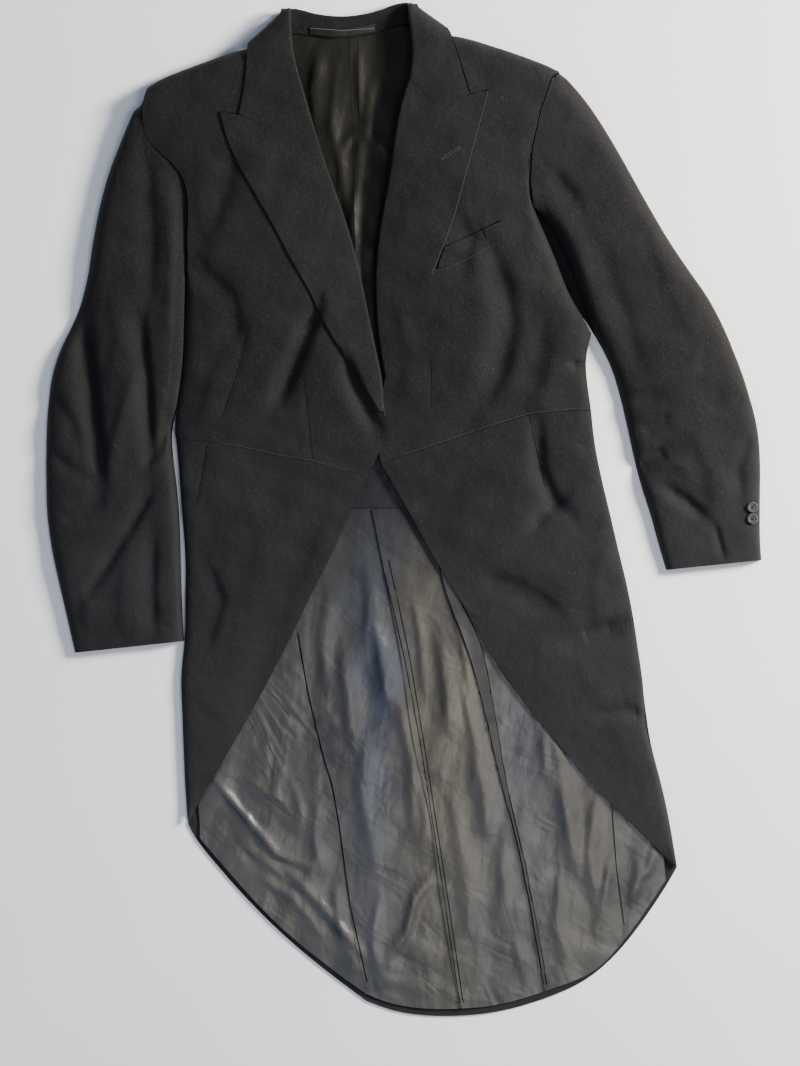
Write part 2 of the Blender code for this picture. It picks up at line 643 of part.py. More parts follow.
def breast_welt():
    """The welt of the breast pocket, on the left forepart."""
    top = table("across up", (46, 290), (108, 319))
    bottom = table("across up", (46, 267), (109, 298))

    def over(x, y):
        return front_top(LEFT, x, y) + LAY_GAP

    def inner(y):
        return max(LAPEL_LEFT(y) + 1.5, 38.0)

    grid = patch(inner, level(108.5), curve(top), curve(bottom), 6, 3, over)
    return sheet("breast_welt", grid, WOOL, True, True, "wool")


def button(name, sleeve_piece, x, y):
    """A four-hole button on the cuff, turned from a profile with a raised rim."""
    depsgraph = bpy.context.evaluated_depsgraph_get()
    cloth = BVHTree.FromObject(sleeve_piece, depsgraph)
    seat = 0.0
    for turn in range(12):
        angle = math.tau * turn / 12
        start = Vector((x + BUTTON_RADIUS * math.cos(angle), y + BUTTON_RADIUS * math.sin(angle), 60)) * MM
        hit = cloth.ray_cast(start, Vector((0, 0, -1)))[0]
        if hit:
            seat = max(seat, hit.z)
    profile = [(0, 1.7), (3.6, 1.7), (4.3, BUTTON_THICK), (5.4, BUTTON_THICK), (BUTTON_RADIUS, 1.9),
               (BUTTON_RADIUS, 0.9), (4.6, 0), (0, 0)]
    mesh = bpy.data.meshes.new(name)
    mesh.from_pydata([Vector((r, 0, h)) * MM for r, h in profile], [(i, i + 1) for i in range(7)], [])
    mesh.materials.append(material("horn"))
    piece = bpy.data.objects.new(name, mesh)
    bpy.data.collections[COAT].objects.link(piece)
    piece.location = Vector((x * MM, y * MM, seat + LAY_GAP * MM))
    turned = piece.modifiers.new("Turned", "SCREW")
    turned.steps = 20
    turned.render_steps = 20
    turned.use_merge_vertices = True
    turned.merge_threshold = 0.00001
    for n in range(4):
        angle = math.pi / 4 + math.pi / 2 * n
        place = Vector((x + 1.5 * math.cos(angle), y + 1.5 * math.sin(angle), 0)) * MM
        place.z = piece.location.z
        bpy.ops.mesh.primitive_cylinder_add(vertices=8, radius=0.65 * MM, depth=12 * MM, location=place)
        cutter = bpy.context.object
        cutter.name = f"{name}_hole_{n}"
        cutter.hide_render = True
        cutter.display_type = "WIRE"
        for home in cutter.users_collection:
            home.objects.unlink(cutter)
        bpy.data.collections[CUTTERS].objects.link(cutter)
        hole = piece.modifiers.new(f"Hole {n}", "BOOLEAN")
        hole.object = cutter
        hole.operation = "DIFFERENCE"
    return piece


COAT = "Cutaway tailcoat"
CUTTERS = "Cutters"
LAPEL_RIGHT = line(LAPEL_RIGHT_EDGE)
LAPEL_LEFT = line(LAPEL_LEFT_EDGE)
PLEAT_RIGHT = line(BACK_RIGHT_EDGE)
PLEAT_LEFT = line(BACK_LEFT_EDGE)
CENTRE = line(CENTRE_SEAM)
HALF_GAP = SEAM_GAP / 2


def build_back():
    """Back panels, side bodies and the turned parts of the skirts, flat on the surface."""
    hem = curve(HEM)
    shoulder = curve(BACK_TOP)

    def fold_round(x):
        away = max(-176 - x, x - 70, 0)
        return (UNDER_ROUND + 1) * ease(away / 14)

    for name, half, edge_a, edge_b in (
            ("back_right", RIGHT, line(BACK_RIGHT_EDGE, HALF_GAP), line(CENTRE_SEAM, -HALF_GAP)),
            ("back_left", LEFT, line(BACK_LEFT_EDGE, -HALF_GAP), line(CENTRE_SEAM, HALF_GAP))):
        def fold(x, y, half=half):
            return FOLD_SHARE * front_top(half, x, y) - SEAM_GAP / 2
        grid = patch(edge_a, edge_b, shoulder, hem, 4, half["rows"], back_ground, fold,
                     {"top": fold_round}, ends=(3, TAIL_ROWS))
        sheet(name, grid, WOOL, False, False, "wool")
    for name, half, seam, armhole in (
            ("side_body_right", RIGHT, line(BACK_RIGHT_EDGE, -HALF_GAP), 256),
            ("side_body_left", LEFT, line(BACK_LEFT_EDGE, HALF_GAP), 238)):
        under(name, half, half["side"], seam, level(armhole), level(78 + SEAM_GAP), 4,
              between(BELOW_ARMHOLE, armhole, 78), {"a": open_until(armhole, armhole - 16, UNDER_ROUND)})
    for name, half, seam, tip in (
            ("skirt_right_turned", RIGHT, line(BACK_RIGHT_EDGE, -HALF_GAP), -330),
            ("skirt_left_turned", LEFT, line(BACK_LEFT_EDGE, HALF_GAP), -380)):
        def flat_at_tip(y, tip=tip):
            return UNDER_ROUND * ease((y - tip) / 40)
        under(name, half, half["side"], seam, level(78), hem, 5, between(BELOW_ARMHOLE, 78, -300),
              {"a": flat_at_tip}, ends=(1, TAIL_ROWS))


def build_lining():
    """The lining that shows in the neck and over the tails, and the narrow strips on it."""
    inset_hem = curve(HEM, HEM_BORDER * 1.4)
    strip_hem = curve(HEM, HEM_BORDER * 1.6)
    neck = curve(NECK_SEAM, -SEAM_GAP)
    tail_rows = between(BELOW_ARMHOLE, 0, -300)
    lining("lining_back_right", level(-168), line(CENTRE_SEAM, -HALF_GAP), neck, level(2.0), 9, 16,
           "neck_satin")
    lining("lining_back_left", line(CENTRE_SEAM, HALF_GAP), level(52), neck, level(2.0), 8, 16,
           "neck_satin")
    lining("lining_tail_right", line(BACK_RIGHT_EDGE, HALF_GAP), line(CENTRE_SEAM, -HALF_GAP),
           level(1.4), inset_hem, 7, tail_rows)
    lining("lining_tail_left", line(CENTRE_SEAM, HALF_GAP), line(BACK_LEFT_EDGE, -HALF_GAP),
           level(1.4), inset_hem, 7, tail_rows)
    lining("lining_skirt_right", line(RIGHT_SIDE, LINING_INSET), line(BACK_RIGHT_EDGE, -HALF_GAP),
           level(-100), inset_hem, 7, between(tail_rows, -100, -300))
    lining("lining_skirt_left", line(BACK_LEFT_EDGE, HALF_GAP), line(SKIRT_SEAM, -HALF_GAP), level(-60),
           inset_hem, 7, between(tail_rows, -60, -300))
    lining("lining_skirt_left_front", line(SKIRT_SEAM, HALF_GAP), line(LEFT_SIDE, -LINING_INSET),
           level(-220), inset_hem, 4, between(tail_rows, -220, -300))
    strip("pleat_edge_left", PLEAT_LEFT, PLEAT_WIDTH, level(-48), strip_hem,
          between(tail_rows, -48, -300), WOOL, "wool")
    strip("vent_tuck", CENTRE, TUCK_WIDTH, level(0), strip_hem, tail_rows, SATIN, "satin")


def build_fronts():
    """Foreparts, skirts, lapels, collar and breast welt."""
    forepart("forepart_right", RIGHT, curve(RIGHT_SHOULDER), curve(RIGHT_WAIST, HALF_GAP), (262, 236),
             109)
    forepart("forepart_left", LEFT, curve(LEFT_SHOULDER), curve(LEFT_WAIST, HALF_GAP), (340, 318), 147)
    skirt("skirt_right", RIGHT, curve(RIGHT_WAIST, -HALF_GAP), -345)
    skirt("skirt_left", LEFT, curve(LEFT_WAIST, -HALF_GAP), -396)
    rolled("lapel_right", RIGHT, LAPEL_RIGHT, straight_curve(RIGHT_GORGE, -HALF_GAP), level(109), 6,
           between(RIGHT_ROWS, 393, 110), None, RIGHT_NOTCH, (3, 1))
    rolled("lapel_left", LEFT, LAPEL_LEFT, straight_curve(LEFT_GORGE, -HALF_GAP), level(147.5), 6,
           between(LEFT_ROWS, 401, 150), None, LEFT_NOTCH, (3, 1))
    rolled("collar_right", RIGHT, line(COLLAR_RIGHT_EDGE), curve(COLLAR_OUTLINE),
           straight_curve(RIGHT_GORGE, HALF_GAP), 6, 6, {"top": level(COLLAR_ROUND)}, RIGHT_NOTCH[1:])
    rolled("collar_left", LEFT, line(COLLAR_LEFT_EDGE), curve(COLLAR_OUTLINE),
           straight_curve(LEFT_GORGE, HALF_GAP), 6, 6, {"top": level(COLLAR_ROUND)}, LEFT_NOTCH[1:])
    collar_stand()
    collar_fall()
    hanger_loop()
    breast_welt()


def build_sleeves():
    """Two-piece sleeves and the cuff's buttons."""
    sleeve("top_sleeve_right", RIGHT_SLEEVE, RIGHT, RIGHT_SLEEVE_FOLDS, True)
    sleeve("under_sleeve_right", RIGHT_SLEEVE, RIGHT, RIGHT_SLEEVE_FOLDS, False)
    upper = sleeve("top_sleeve_left", LEFT_SLEEVE, LEFT, LEFT_SLEEVE_FOLDS, True)
    sleeve("under_sleeve_left", reaching_body(LEFT_SLEEVE), LEFT, LEFT_SLEEVE_FOLDS, False)
    button("cuff_button_upper", upper, 386, 2.5)
    button("cuff_button_lower", upper, 386, 2.5 - BUTTON_PITCH)


def main():
    for old in list(bpy.data.objects):
        bpy.data.objects.remove(old, do_unlink=True)
    for name in (COAT, CUTTERS):
        home = bpy.data.collections.new(name)
        bpy.context.scene.collection.children.link(home)
    build_back()
    build_lining()
    build_fronts()
    build_sleeves()


main()
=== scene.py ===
# %% [markdown]
# # Cutaway tailcoat, laid flat
#
# A black wool tailcoat lies on its back, closed at the waist, with its tails spread so that their
# satin lining shows. Each cloth piece is a copy of its pattern piece, made finer and then creased.
# X runs across the coat, Y towards the collar and Z up from the surface. Right and left
# are the wearer's.

# %% Modules, frame and pattern pieces
import json
import math

import bmesh
import bpy
import numpy as np
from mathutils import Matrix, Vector
from mathutils.bvhtree import BVHTree
from mathutils.kdtree import KDTree


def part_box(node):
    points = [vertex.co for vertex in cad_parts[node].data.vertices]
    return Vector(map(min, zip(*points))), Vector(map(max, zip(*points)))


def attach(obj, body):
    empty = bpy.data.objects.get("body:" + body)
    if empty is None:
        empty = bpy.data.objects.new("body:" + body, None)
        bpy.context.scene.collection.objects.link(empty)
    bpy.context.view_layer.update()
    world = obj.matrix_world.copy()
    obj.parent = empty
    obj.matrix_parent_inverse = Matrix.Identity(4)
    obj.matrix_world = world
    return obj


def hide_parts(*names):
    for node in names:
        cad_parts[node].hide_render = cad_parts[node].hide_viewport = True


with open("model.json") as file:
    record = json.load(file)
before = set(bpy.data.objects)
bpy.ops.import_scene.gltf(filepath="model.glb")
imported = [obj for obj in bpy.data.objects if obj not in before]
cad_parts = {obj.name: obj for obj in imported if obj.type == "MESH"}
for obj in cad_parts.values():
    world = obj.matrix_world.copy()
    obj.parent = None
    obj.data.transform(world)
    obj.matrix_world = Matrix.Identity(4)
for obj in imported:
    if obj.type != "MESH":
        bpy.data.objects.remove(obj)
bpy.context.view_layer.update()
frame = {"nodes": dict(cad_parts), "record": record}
MM = 0.001
print("pattern pieces:", len(frame["nodes"]))

# %% [markdown]
# ## Creases
#
# Each crease is a line of points in millimetres, how far it reaches to each side, and its rise. A
# trough has a negative rise. The first table runs over the foreparts, skirts, lapels and collar.
# The last one is for the underside, where the cloth is pressed into shallow hollows.

# %% Tables of creases
FRONT_CREASES = [
    ([(-93, 228), (-114, 178), (-139, 118)], 9, -3.0),
    ([(-66, 170), (-50, 130), (-30, 88)], 8, -2.8),
    ([(-91, 194), (-107, 153), (-118, 110)], 9, 1.2),
    ([(93, 294), (112, 245), (119, 205), (106, 150), (88, 118)], 14, -2.3),
    ([(78, 241), (86, 199), (68, 130)], 12, 0.5),
    ([(152, 224), (150, 179), (140, 130)], 16, -1.3),
    ([(180, 213), (169, 166), (151, 124)], 9, 0.9),
    ([(203, 213), (206, 193), (202, 175)], 6, 1.6),
    ([(202, 162), (186, 159)], 4, -1.8),
    ([(143, 375), (157, 349)], 8, -1.6),
    ([(129, 399), (140, 355), (144, 299)], 12, 1.0),
    ([(13, -3), (40, 16), (69, 31)], 9, -1.3),
    ([(149, 98), (152, 46), (168, 8), (186, -5)], 8, -1.8),
    ([(181, 15), (160, -3), (141, -22)], 7, -1.9),
    ([(91, -75), (129, -89), (169, -112)], 10, -2.2),
    ([(169, -149), (206, -136), (243, -127)], 10, -2.4),
    ([(269, -229), (245, -225), (215, -231)], 7, -1.9),
    ([(229, -34), (213, -78), (218, -132)], 12, 1.2),
    ([(190, -167), (218, -211), (253, -278)], 13, 0.9),
    ([(-213, 44), (-191, -56), (-211, -156)], 17, 1.1),
    ([(-88, 5), (-132, -100), (-176, -228)], 15, -0.9),
    ([(-221, -56), (-202, -100), (-220, -156)], 8, -0.9),
    ([(-182, 44), (-158, -34), (-171, -100)], 12, 0.8),
    ([(-231, 275), (-191, 233), (-182, 177)], 12, -1.4),
    ([(-226, 344), (-211, 288), (-220, 233)], 11, 1.0),
    ([(-186, 399), (-200, 344), (-220, 299)], 13, -1.0),
    ([(-191, 183), (-211, 144), (-221, 99)], 9, 0.9),
    ([(-10, 233), (7, 177), (0, 122)], 9, 1.0),
    ([(57, 332), (73, 299), (64, 255)], 11, -0.9),
]

DARTS = [
    ([(-110, 143), (-105, 99), (-101, 55)], 2.4, -0.8),
    ([(-171, 204), (-184, 153), (-202, 100)], 2.4, -0.8),
    ([(-218, 72), (-223, 42), (-230, 7)], 2.2, -0.7),
    ([(30, 165), (31, 139), (31, 114)], 2.2, -0.7),
    ([(139, 104), (143, 83), (151, 52), (157, 25)], 2.4, -0.9),
]

RIGHT_SLEEVE_CREASES = [
    ([(-356, 221), (-346, 122), (-334, 22)], 11, -4.0),
    ([(-292, 213), (-284, 133), (-281, 58)], 8, -3.0),
    ([(-278, -26), (-280, -84), (-278, -139)], 9, -1.8),
    ([(-281, 16), (-293, -3), (-307, -28)], 7, -2.6),
    ([(-307, -28), (-333, -69), (-360, -105)], 7, -2.4),
    ([(-300, 148), (-317, 88), (-334, 22)], 9, 2.2),
    ([(-285, 388), (-279, 310), (-282, 233)], 11, -1.6),
    ([(-391, 127), (-369, 99), (-360, 64)], 8, -1.4),
    ([(-393, 66), (-371, 46), (-346, 33)], 7, -1.5),
    ([(-382, -12), (-357, -3), (-337, 11)], 7, -1.2),
    ([(-324, 233), (-315, 188), (-324, 144)], 10, 1.5),
    ([(-315, 355), (-329, 299), (-337, 244)], 14, 1.3),
    ([(-306, -56), (-313, -100), (-309, -136)], 9, 1.2),
    ([(-262, 344), (-258, 277), (-262, 199)], 8, 1.0),
    ([(-260, 99), (-271, 66), (-291, 44)], 6, -1.5),
    ([(-342, -56), (-355, -89), (-353, -128)], 7, 0.9),
]

LEFT_SLEEVE_CREASES = [
    ([(259, 47), (273, 58), (290, 68)], 8, -3.0),
    ([(262, 87), (279, 96), (296, 103)], 8, -1.9),
    ([(290, 25), (313, 11), (336, -9)], 7, -2.3),
    ([(345, -16), (350, -34), (355, -53)], 4, -1.2),
    ([(164, 375), (176, 359), (194, 338)], 10, -1.6),
    ([(173, 327), (195, 282), (209, 244)], 11, 1.4),
    ([(218, 288), (245, 210), (262, 144)], 14, -1.2),
    ([(369, 177), (346, 164), (322, 155)], 8, -1.6),
    ([(382, 124), (360, 113), (335, 110)], 8, -1.5),
    ([(240, 127), (262, 124), (284, 130)], 6, -1.2),
    ([(317, 88), (342, 44), (346, -1)], 11, 1.3),
    ([(279, 44), (297, 49), (317, 46)], 6, 1.4),
    ([(273, 321), (297, 244), (329, 188)], 15, 1.3),
    ([(386, 88), (371, 44), (375, 11)], 7, -0.9),
]

TAIL_CREASES = [
    ([(-210, -302), (-168, -352), (-141, -384), (-101, -398)], 4.5, 2.4),
    ([(-198, -296), (-158, -339), (-115, -369)], 8, -1.0),
    ([(-130, -402), (-93, -440), (-49, -491)], 4.5, 2.2),
    ([(28, -412), (12, -430), (2, -469), (-18, -498)], 4.5, 2.6),
    ([(37, -422), (22, -439), (13, -478)], 6, -0.8),
    ([(-69, -162), (-63, -211), (-58, -261)], 9, 1.8),
    ([(-31, -123), (-26, -167), (-18, -217)], 8, 2.0),
    ([(-7, -211), (7, -278), (11, -356)], 8, 1.6),
    ([(-42, -256), (-47, -322), (-36, -389)], 9, 1.7),
    ([(40, -145), (47, -200), (51, -245)], 9, 1.8),
    ([(64, -189), (78, -256), (80, -322)], 7, 1.2),
    ([(84, -278), (89, -322), (93, -362)], 9, 1.3),
    ([(53, -322), (64, -389), (73, -467)], 9, 1.6),
    ([(107, -378), (112, -433), (104, -489)], 8, 1.4),
    ([(173, -300), (182, -356), (190, -398)], 9, 1.8),
    ([(213, -322), (206, -378), (211, -433)], 8, 1.5),
    ([(262, -391), (258, -416), (253, -436)], 6, 1.5),
    ([(151, -211), (169, -256), (173, -289)], 8, 1.2),
    ([(135, -167), (151, -234), (160, -300)], 7, 1.0),
    ([(-171, -306), (-151, -316), (-135, -311)], 4, 1.6),
    ([(-162, -322), (-147, -318), (-129, -329)], 4, 1.3),
    ([(-121, -311), (-115, -336), (-118, -358)], 5, 1.5),
    ([(-112, -211), (-129, -236), (-158, -250)], 6, 1.4),
    ([(-118, -167), (-131, -200), (-158, -225)], 6, 1.1),
    ([(-115, -261), (-142, -280), (-175, -285)], 6, 1.3),
    ([(-95, -322), (-102, -361), (-95, -391)], 6, 1.5),
    ([(-182, -369), (-158, -391), (-129, -411)], 5, 1.2),
    ([(-158, -411), (-124, -433), (-95, -471)], 5, 1.4),
    ([(-78, -422), (-71, -467), (-58, -509)], 6, 1.5),
    ([(-29, -433), (-36, -478), (-29, -511)], 6, 1.3),
    ([(18, -378), (27, -356), (22, -311)], 5, 1.1),
    ([(229, -391), (222, -433), (213, -467)], 6, 1.4),
    ([(279, -378), (271, -400), (262, -411)], 5, 1.2),
    ([(173, -411), (169, -456), (175, -498)], 7, 1.5),
    ([(129, -433), (124, -478), (129, -517)], 6, 1.2),
    ([(-82, -89), (-91, -145), (-87, -200)], 8, 1.4),
    ([(11, -100), (18, -145), (22, -200)], 6, 1.2),
    ([(57, -123), (64, -145), (73, -200)], 5, 0.9),
    ([(-42, -530), (-20, -524), (1, -528), (23, -536)], 3, 0.9),
    ([(40, -540), (73, -544), (112, -538)], 3, 0.8),
    ([(-43, -56), (-38, -100), (-42, -145)], 7, 1.5),
    ([(-104, -245), (-82, -236), (-71, -245)], 4, 1.0),
]

NECK_CREASES = [
    ([(-95, 510), (-102, 466), (-98, 427)], 7, 2.2),
    ([(-73, 499), (-78, 455), (-84, 410)], 7, 1.4),
    ([(-51, 508), (-51, 477), (-49, 443)], 5, 2.0),
    ([(-36, 477), (-40, 449), (-42, 416)], 6, 2.2),
    ([(-67, 403), (-58, 415), (-49, 421)], 5, 2.4),
    ([(-49, 421), (-38, 412), (-27, 401)], 5, 2.4),
    ([(-49, 421), (-51, 366), (-58, 310)], 7, 2.4),
    ([(-71, 399), (-64, 344), (-53, 288)], 7, 1.6),
    ([(-36, 399), (-40, 344), (-42, 277)], 7, 1.8),
    ([(-58, 288), (-49, 244), (-44, 199)], 6, 1.6),
    ([(-82, 432), (-73, 388), (-69, 344)], 6, 1.4),
    ([(-27, 459), (-29, 421), (-22, 388)], 5, 1.5),
]

UNDER_CREASES = [
    ([(-150, 420), (-128, 330), (-140, 230)], 15, 0.9),
    ([(-60, 360), (-78, 260), (-70, 160)], 13, 0.8),
    ([(40, 410), (62, 320), (50, 210)], 15, 0.9),
    ([(118, 300), (104, 220), (116, 150)], 12, 0.7),
    ([(-190, 100), (-120, 84), (-40, 96)], 12, 0.8),
    ([(20, 78), (80, 62), (140, 70)], 11, 0.7),
    ([(-150, -40), (-132, -170), (-140, -300)], 16, 0.9),
    ([(-60, -90), (-48, -220), (-56, -360)], 14, 0.8),
    ([(60, -60), (74, -200), (66, -330)], 15, 0.9),
    ([(170, -80), (186, -190), (176, -300)], 14, 0.8),
    ([(120, -330), (132, -400), (124, -480)], 11, 0.6),
    ([(-350, 150), (-330, 60), (-322, -40)], 10, 0.8),
    ([(-300, 240), (-292, 150), (-296, 70)], 9, 0.7),
    ([(-330, -60), (-318, -100), (-300, -130)], 8, 0.7),
    ([(252, 200), (290, 120), (318, 50)], 10, 0.8),
    ([(290, 200), (322, 140), (340, 90)], 9, 0.6),
    ([(310, 0), (340, -10), (362, -30)], 8, 0.7),
    ([(-130, 545), (-60, 552), (10, 548)], 9, 0.6),
]
print("creases:", sum(len(rows) for rows in (FRONT_CREASES, TAIL_CREASES, NECK_CREASES, UNDER_CREASES)))

# %% [markdown]
# ## The cut
#
# Width, length and area of each piece before it was sewn, in metres and square metres, then what
# it lies on. All of it shows or backs what shows.

# %% Sizes of the cut, and groups of pieces
CUTS = {
    "back_left": (0.240, 1.100, 0.1400, "floor"),
    "back_right": (0.240, 1.105, 0.1480, "floor"),
    "side_body_left": (0.160, 0.190, 0.0175, "floor"),
    "side_body_right": (0.096, 0.180, 0.0108, "floor"),
    "skirt_left_turned": (0.205, 0.640, 0.1080, "floor"),
    "skirt_right_turned": (0.168, 0.650, 0.0760, "floor"),
    "collar_fall": (0.062, 0.212, 0.0118, "floor"),
    "under_sleeve_left": (0.160, 0.590, 0.0680, "floor"),
    "under_sleeve_right": (0.160, 0.630, 0.0715, "floor"),
    "lining_back_left": (0.116, 0.538, 0.0570, "back_left"),
    "lining_back_right": (0.134, 0.528, 0.0610, "back_right"),
    "lining_tail_left": (0.102, 0.570, 0.0465, "back_left"),
    "lining_tail_right": (0.119, 0.584, 0.0595, "back_right"),
    "lining_skirt_left": (0.149, 0.492, 0.0550, "skirt_left_turned"),
    "lining_skirt_left_front": (0.059, 0.262, 0.0115, "skirt_left_turned"),
    "lining_skirt_right": (0.157, 0.464, 0.0510, "skirt_right_turned"),
    "pleat_edge_left": (0.028, 0.500, 0.0045, "lining_skirt_left"),
    "vent_tuck": (0.016, 0.565, 0.0036, "lining_tail_left"),
    "forepart_left": (0.240, 0.475, 0.0840, "lining_back_left"),
    "forepart_right": (0.235, 0.487, 0.0870, "lining_back_right"),
    "skirt_left": (0.241, 0.525, 0.0755, "lining_skirt_left"),
    "skirt_right": (0.214, 0.424, 0.0488, "lining_skirt_right"),
    "lapel_left": (0.094, 0.336, 0.0258, "forepart_left"),
    "lapel_right": (0.098, 0.370, 0.0270, "forepart_right"),
    "collar_left": (0.060, 0.130, 0.0070, "forepart_left"),
    "collar_right": (0.069, 0.141, 0.0084, "forepart_right"),
    "collar_stand": (0.036, 0.141, 0.0037, "collar_fall"),
    "hanger_loop": (0.014, 0.075, 0.0007, "collar_stand"),
    "breast_welt": (0.023, 0.088, 0.0017, "forepart_left"),
    "top_sleeve_left": (0.160, 0.590, 0.0745, "under_sleeve_left"),
    "top_sleeve_right": (0.160, 0.630, 0.0800, "under_sleeve_right"),
}
FRONTS = ("forepart_left", "forepart_right", "skirt_left", "skirt_right", "lapel_left", "lapel_right",
          "collar_left", "collar_right", "breast_welt")
TAIL_LINING = ("lining_tail_left", "lining_tail_right", "lining_skirt_left", "lining_skirt_left_front",
               "lining_skirt_right", "pleat_edge_left", "vent_tuck")
NECK_LINING = ("lining_back_left", "lining_back_right")
UNDERSIDE = ("back_left", "back_right", "side_body_left", "side_body_right", "skirt_left_turned",
             "skirt_right_turned", "collar_fall", "under_sleeve_left", "under_sleeve_right")

# %% [markdown]
# ## Shader helpers
#
# Small helpers that add one shader node at a time. All patterns use object coordinates in metres.

# %% Shader helpers
def add(tree, kind, inputs=None, **settings):
    """One shader node, with its settings and the values or links of its inputs."""
    made = tree.nodes.new(kind)
    for name, value in settings.items():
        setattr(made, name, value)
    for name, value in (inputs or {}).items():
        if isinstance(value, bpy.types.NodeSocket):
            tree.links.new(value, made.inputs[name])
        else:
            made.inputs[name].default_value = value
    return made


def new_material(name):
    """A material, its node tree, its shader and the object coordinates."""
    made = bpy.data.materials.new(name)
    made.use_nodes = True
    tree = made.node_tree
    place = add(tree, "ShaderNodeTexCoord").outputs["Object"]
    return made, tree, tree.nodes["Principled BSDF"], place


def noise(tree, place, scale, detail=2.0, distortion=0.0):
    """A noise value around 0.5."""
    return add(tree, "ShaderNodeTexNoise", {"Vector": place, "Scale": scale, "Detail": detail,
                                            "Distortion": distortion}).outputs["Fac"]


def stretch(tree, place, scale, turn=0.0):
    """The coordinates, turned and then scaled."""
    turned = add(tree, "ShaderNodeMapping", {"Vector": place, "Rotation": (0, 0, turn)})
    return add(tree, "ShaderNodeMapping", {"Vector": turned.outputs[0], "Scale": scale}).outputs[0]


def ramp(tree, share, stops):
    """Colours blended between places from 0 to 1."""
    made = add(tree, "ShaderNodeValToRGB", {"Fac": share})
    while len(made.color_ramp.elements) < len(stops):
        made.color_ramp.elements.new(0.5)
    for element, (at, colour) in zip(made.color_ramp.elements, stops):
        element.position = at
        element.color = (*colour, 1)
    return made.outputs["Color"]


def blend(tree, share, first, second):
    """A mix of two colours."""
    colours = {0: share, 6: first, 7: second}
    return add(tree, "ShaderNodeMix", colours, data_type="RGBA").outputs[2]


def remap(tree, value, low, high, to_low=0.0, to_high=1.0):
    """A value moved from one range to another and held inside it."""
    ends = {"Value": value, "From Min": low, "From Max": high, "To Min": to_low, "To Max": to_high}
    return add(tree, "ShaderNodeMapRange", ends).outputs[0]


def bumps(tree, shader, layers):
    """Bump layers on a shader: a height and how far it stands out, in metres."""
    normal = None
    for height, distance in layers:
        inputs = {"Height": height, "Distance": distance, "Strength": 1.0}
        if normal:
            inputs["Normal"] = normal
        normal = add(tree, "ShaderNodeBump", inputs).outputs["Normal"]
    tree.links.new(normal, shader.inputs["Normal"])


# %% [markdown]
# ## Wool
#
# A matt twill in near black. Fine diagonal ribs and stray fibres are in the bump. Towards the skirts
# the colour is painted lighter and bluer, as painted light for the brighter light that falls there.
# Pale lint sits on the wool here and there.

# %% The wool material
def lint(tree, place):
    """1 on a few small specks."""
    cells = add(tree, "ShaderNodeTexVoronoi", {"Vector": place, "Scale": 110.0})
    chosen = add(tree, "ShaderNodeSeparateColor", {"Color": cells.outputs["Color"]}).outputs[0]
    few = add(tree, "ShaderNodeMath", {0: chosen, 1: 0.93}, operation="GREATER_THAN").outputs[0]
    small = add(tree, "ShaderNodeMath", {0: cells.outputs["Distance"], 1: 0.055}, operation="LESS_THAN")
    return add(tree, "ShaderNodeMath", {0: few, 1: small.outputs[0]}, operation="MULTIPLY").outputs[0]


def make_wool():
    made, tree, shader, place = new_material("Wool twill")
    across = add(tree, "ShaderNodeSeparateXYZ", {"Vector": place})
    dye = ramp(tree, noise(tree, place, 11.0, 4.0, 0.6), [(0.3, (0.0050, 0.0048, 0.0049)),
                                                        (0.7, (0.0086, 0.0082, 0.0082))])
    # Painted light: towards the skirts the wool is coloured lighter and bluer, standing in for the brighter
    # light that falls there.
    skirt_painted_light = ramp(tree, noise(tree, place, 8.0, 4.0, 0.8), [(0.32, (0.0105, 0.0105, 0.0115)),
                                                              (0.68, (0.0175, 0.0177, 0.0205))])
    lower = remap(tree, across.outputs["Y"], 0.14, -0.24)
    cloth = blend(tree, lower, dye, skirt_painted_light)
    fibres = noise(tree, stretch(tree, place, (800, 300, 800), 0.7), 1.0, 3.0)
    cloth = blend(tree, remap(tree, fibres, 0.5, 0.72, 0.0, 0.3), cloth, (0.034, 0.033, 0.034, 1))
    cloth = blend(tree, lint(tree, place), cloth, (0.07, 0.07, 0.068, 1))
    tree.links.new(cloth, shader.inputs["Base Color"])
    shader.inputs["Roughness"].default_value = 0.7
    shader.inputs["Specular IOR Level"].default_value = 0.16
    shader.inputs["Sheen Weight"].default_value = 0.03
    shader.inputs["Sheen Roughness"].default_value = 0.55
    shader.inputs["Sheen Tint"].default_value = (0.42, 0.43, 0.5, 1)
    ribs = add(tree, "ShaderNodeTexWave", {"Vector": stretch(tree, place, (1, 1, 1), 1.1), "Scale": 330.0,
                                           "Distortion": 1.2, "Detail": 1.0}).outputs["Fac"]
    bumps(tree, shader, [(noise(tree, place, 24.0, 2.0, 0.4), 0.002),
                         (noise(tree, place, 95.0, 3.0), 0.0006), (fibres, 0.0004), (ribs, 0.00015)])
    return made


# %% [markdown]
# ## Linings, horn and thread
#
# The tail lining is a taupe satin that turns blue-grey in some bands. The neck lining is the same
# satin in dark olive. Long soft wrinkles and small ones are in its bump. Where the skirts shade the
# lining, it is darker and duller.

# %% The other materials
SHADED_SATIN = (0.013, 0.013, 0.016, 1)
DEEP_SHADE = (0.003, 0.003, 0.005, 1)


def satin_bumps(tree, shader, place, deep):
    long_ones = noise(tree, stretch(tree, place, (22, 5, 10), 0.1), 1.0, 1.7, 0.6)
    slanted = noise(tree, stretch(tree, place, (14, 30, 10), 0.6), 1.0, 2.0, 0.6)
    small = noise(tree, stretch(tree, place, (85, 50, 60), 0.3), 1.0, 2.0, 0.3)
    weave = noise(tree, stretch(tree, place, (2200, 500, 900)), 1.0, 1.0)
    bumps(tree, shader, [(long_ones, 0.0034 * deep), (slanted, 0.0021 * deep), (small, 0.0008 * deep),
                         (weave, 0.00003)])


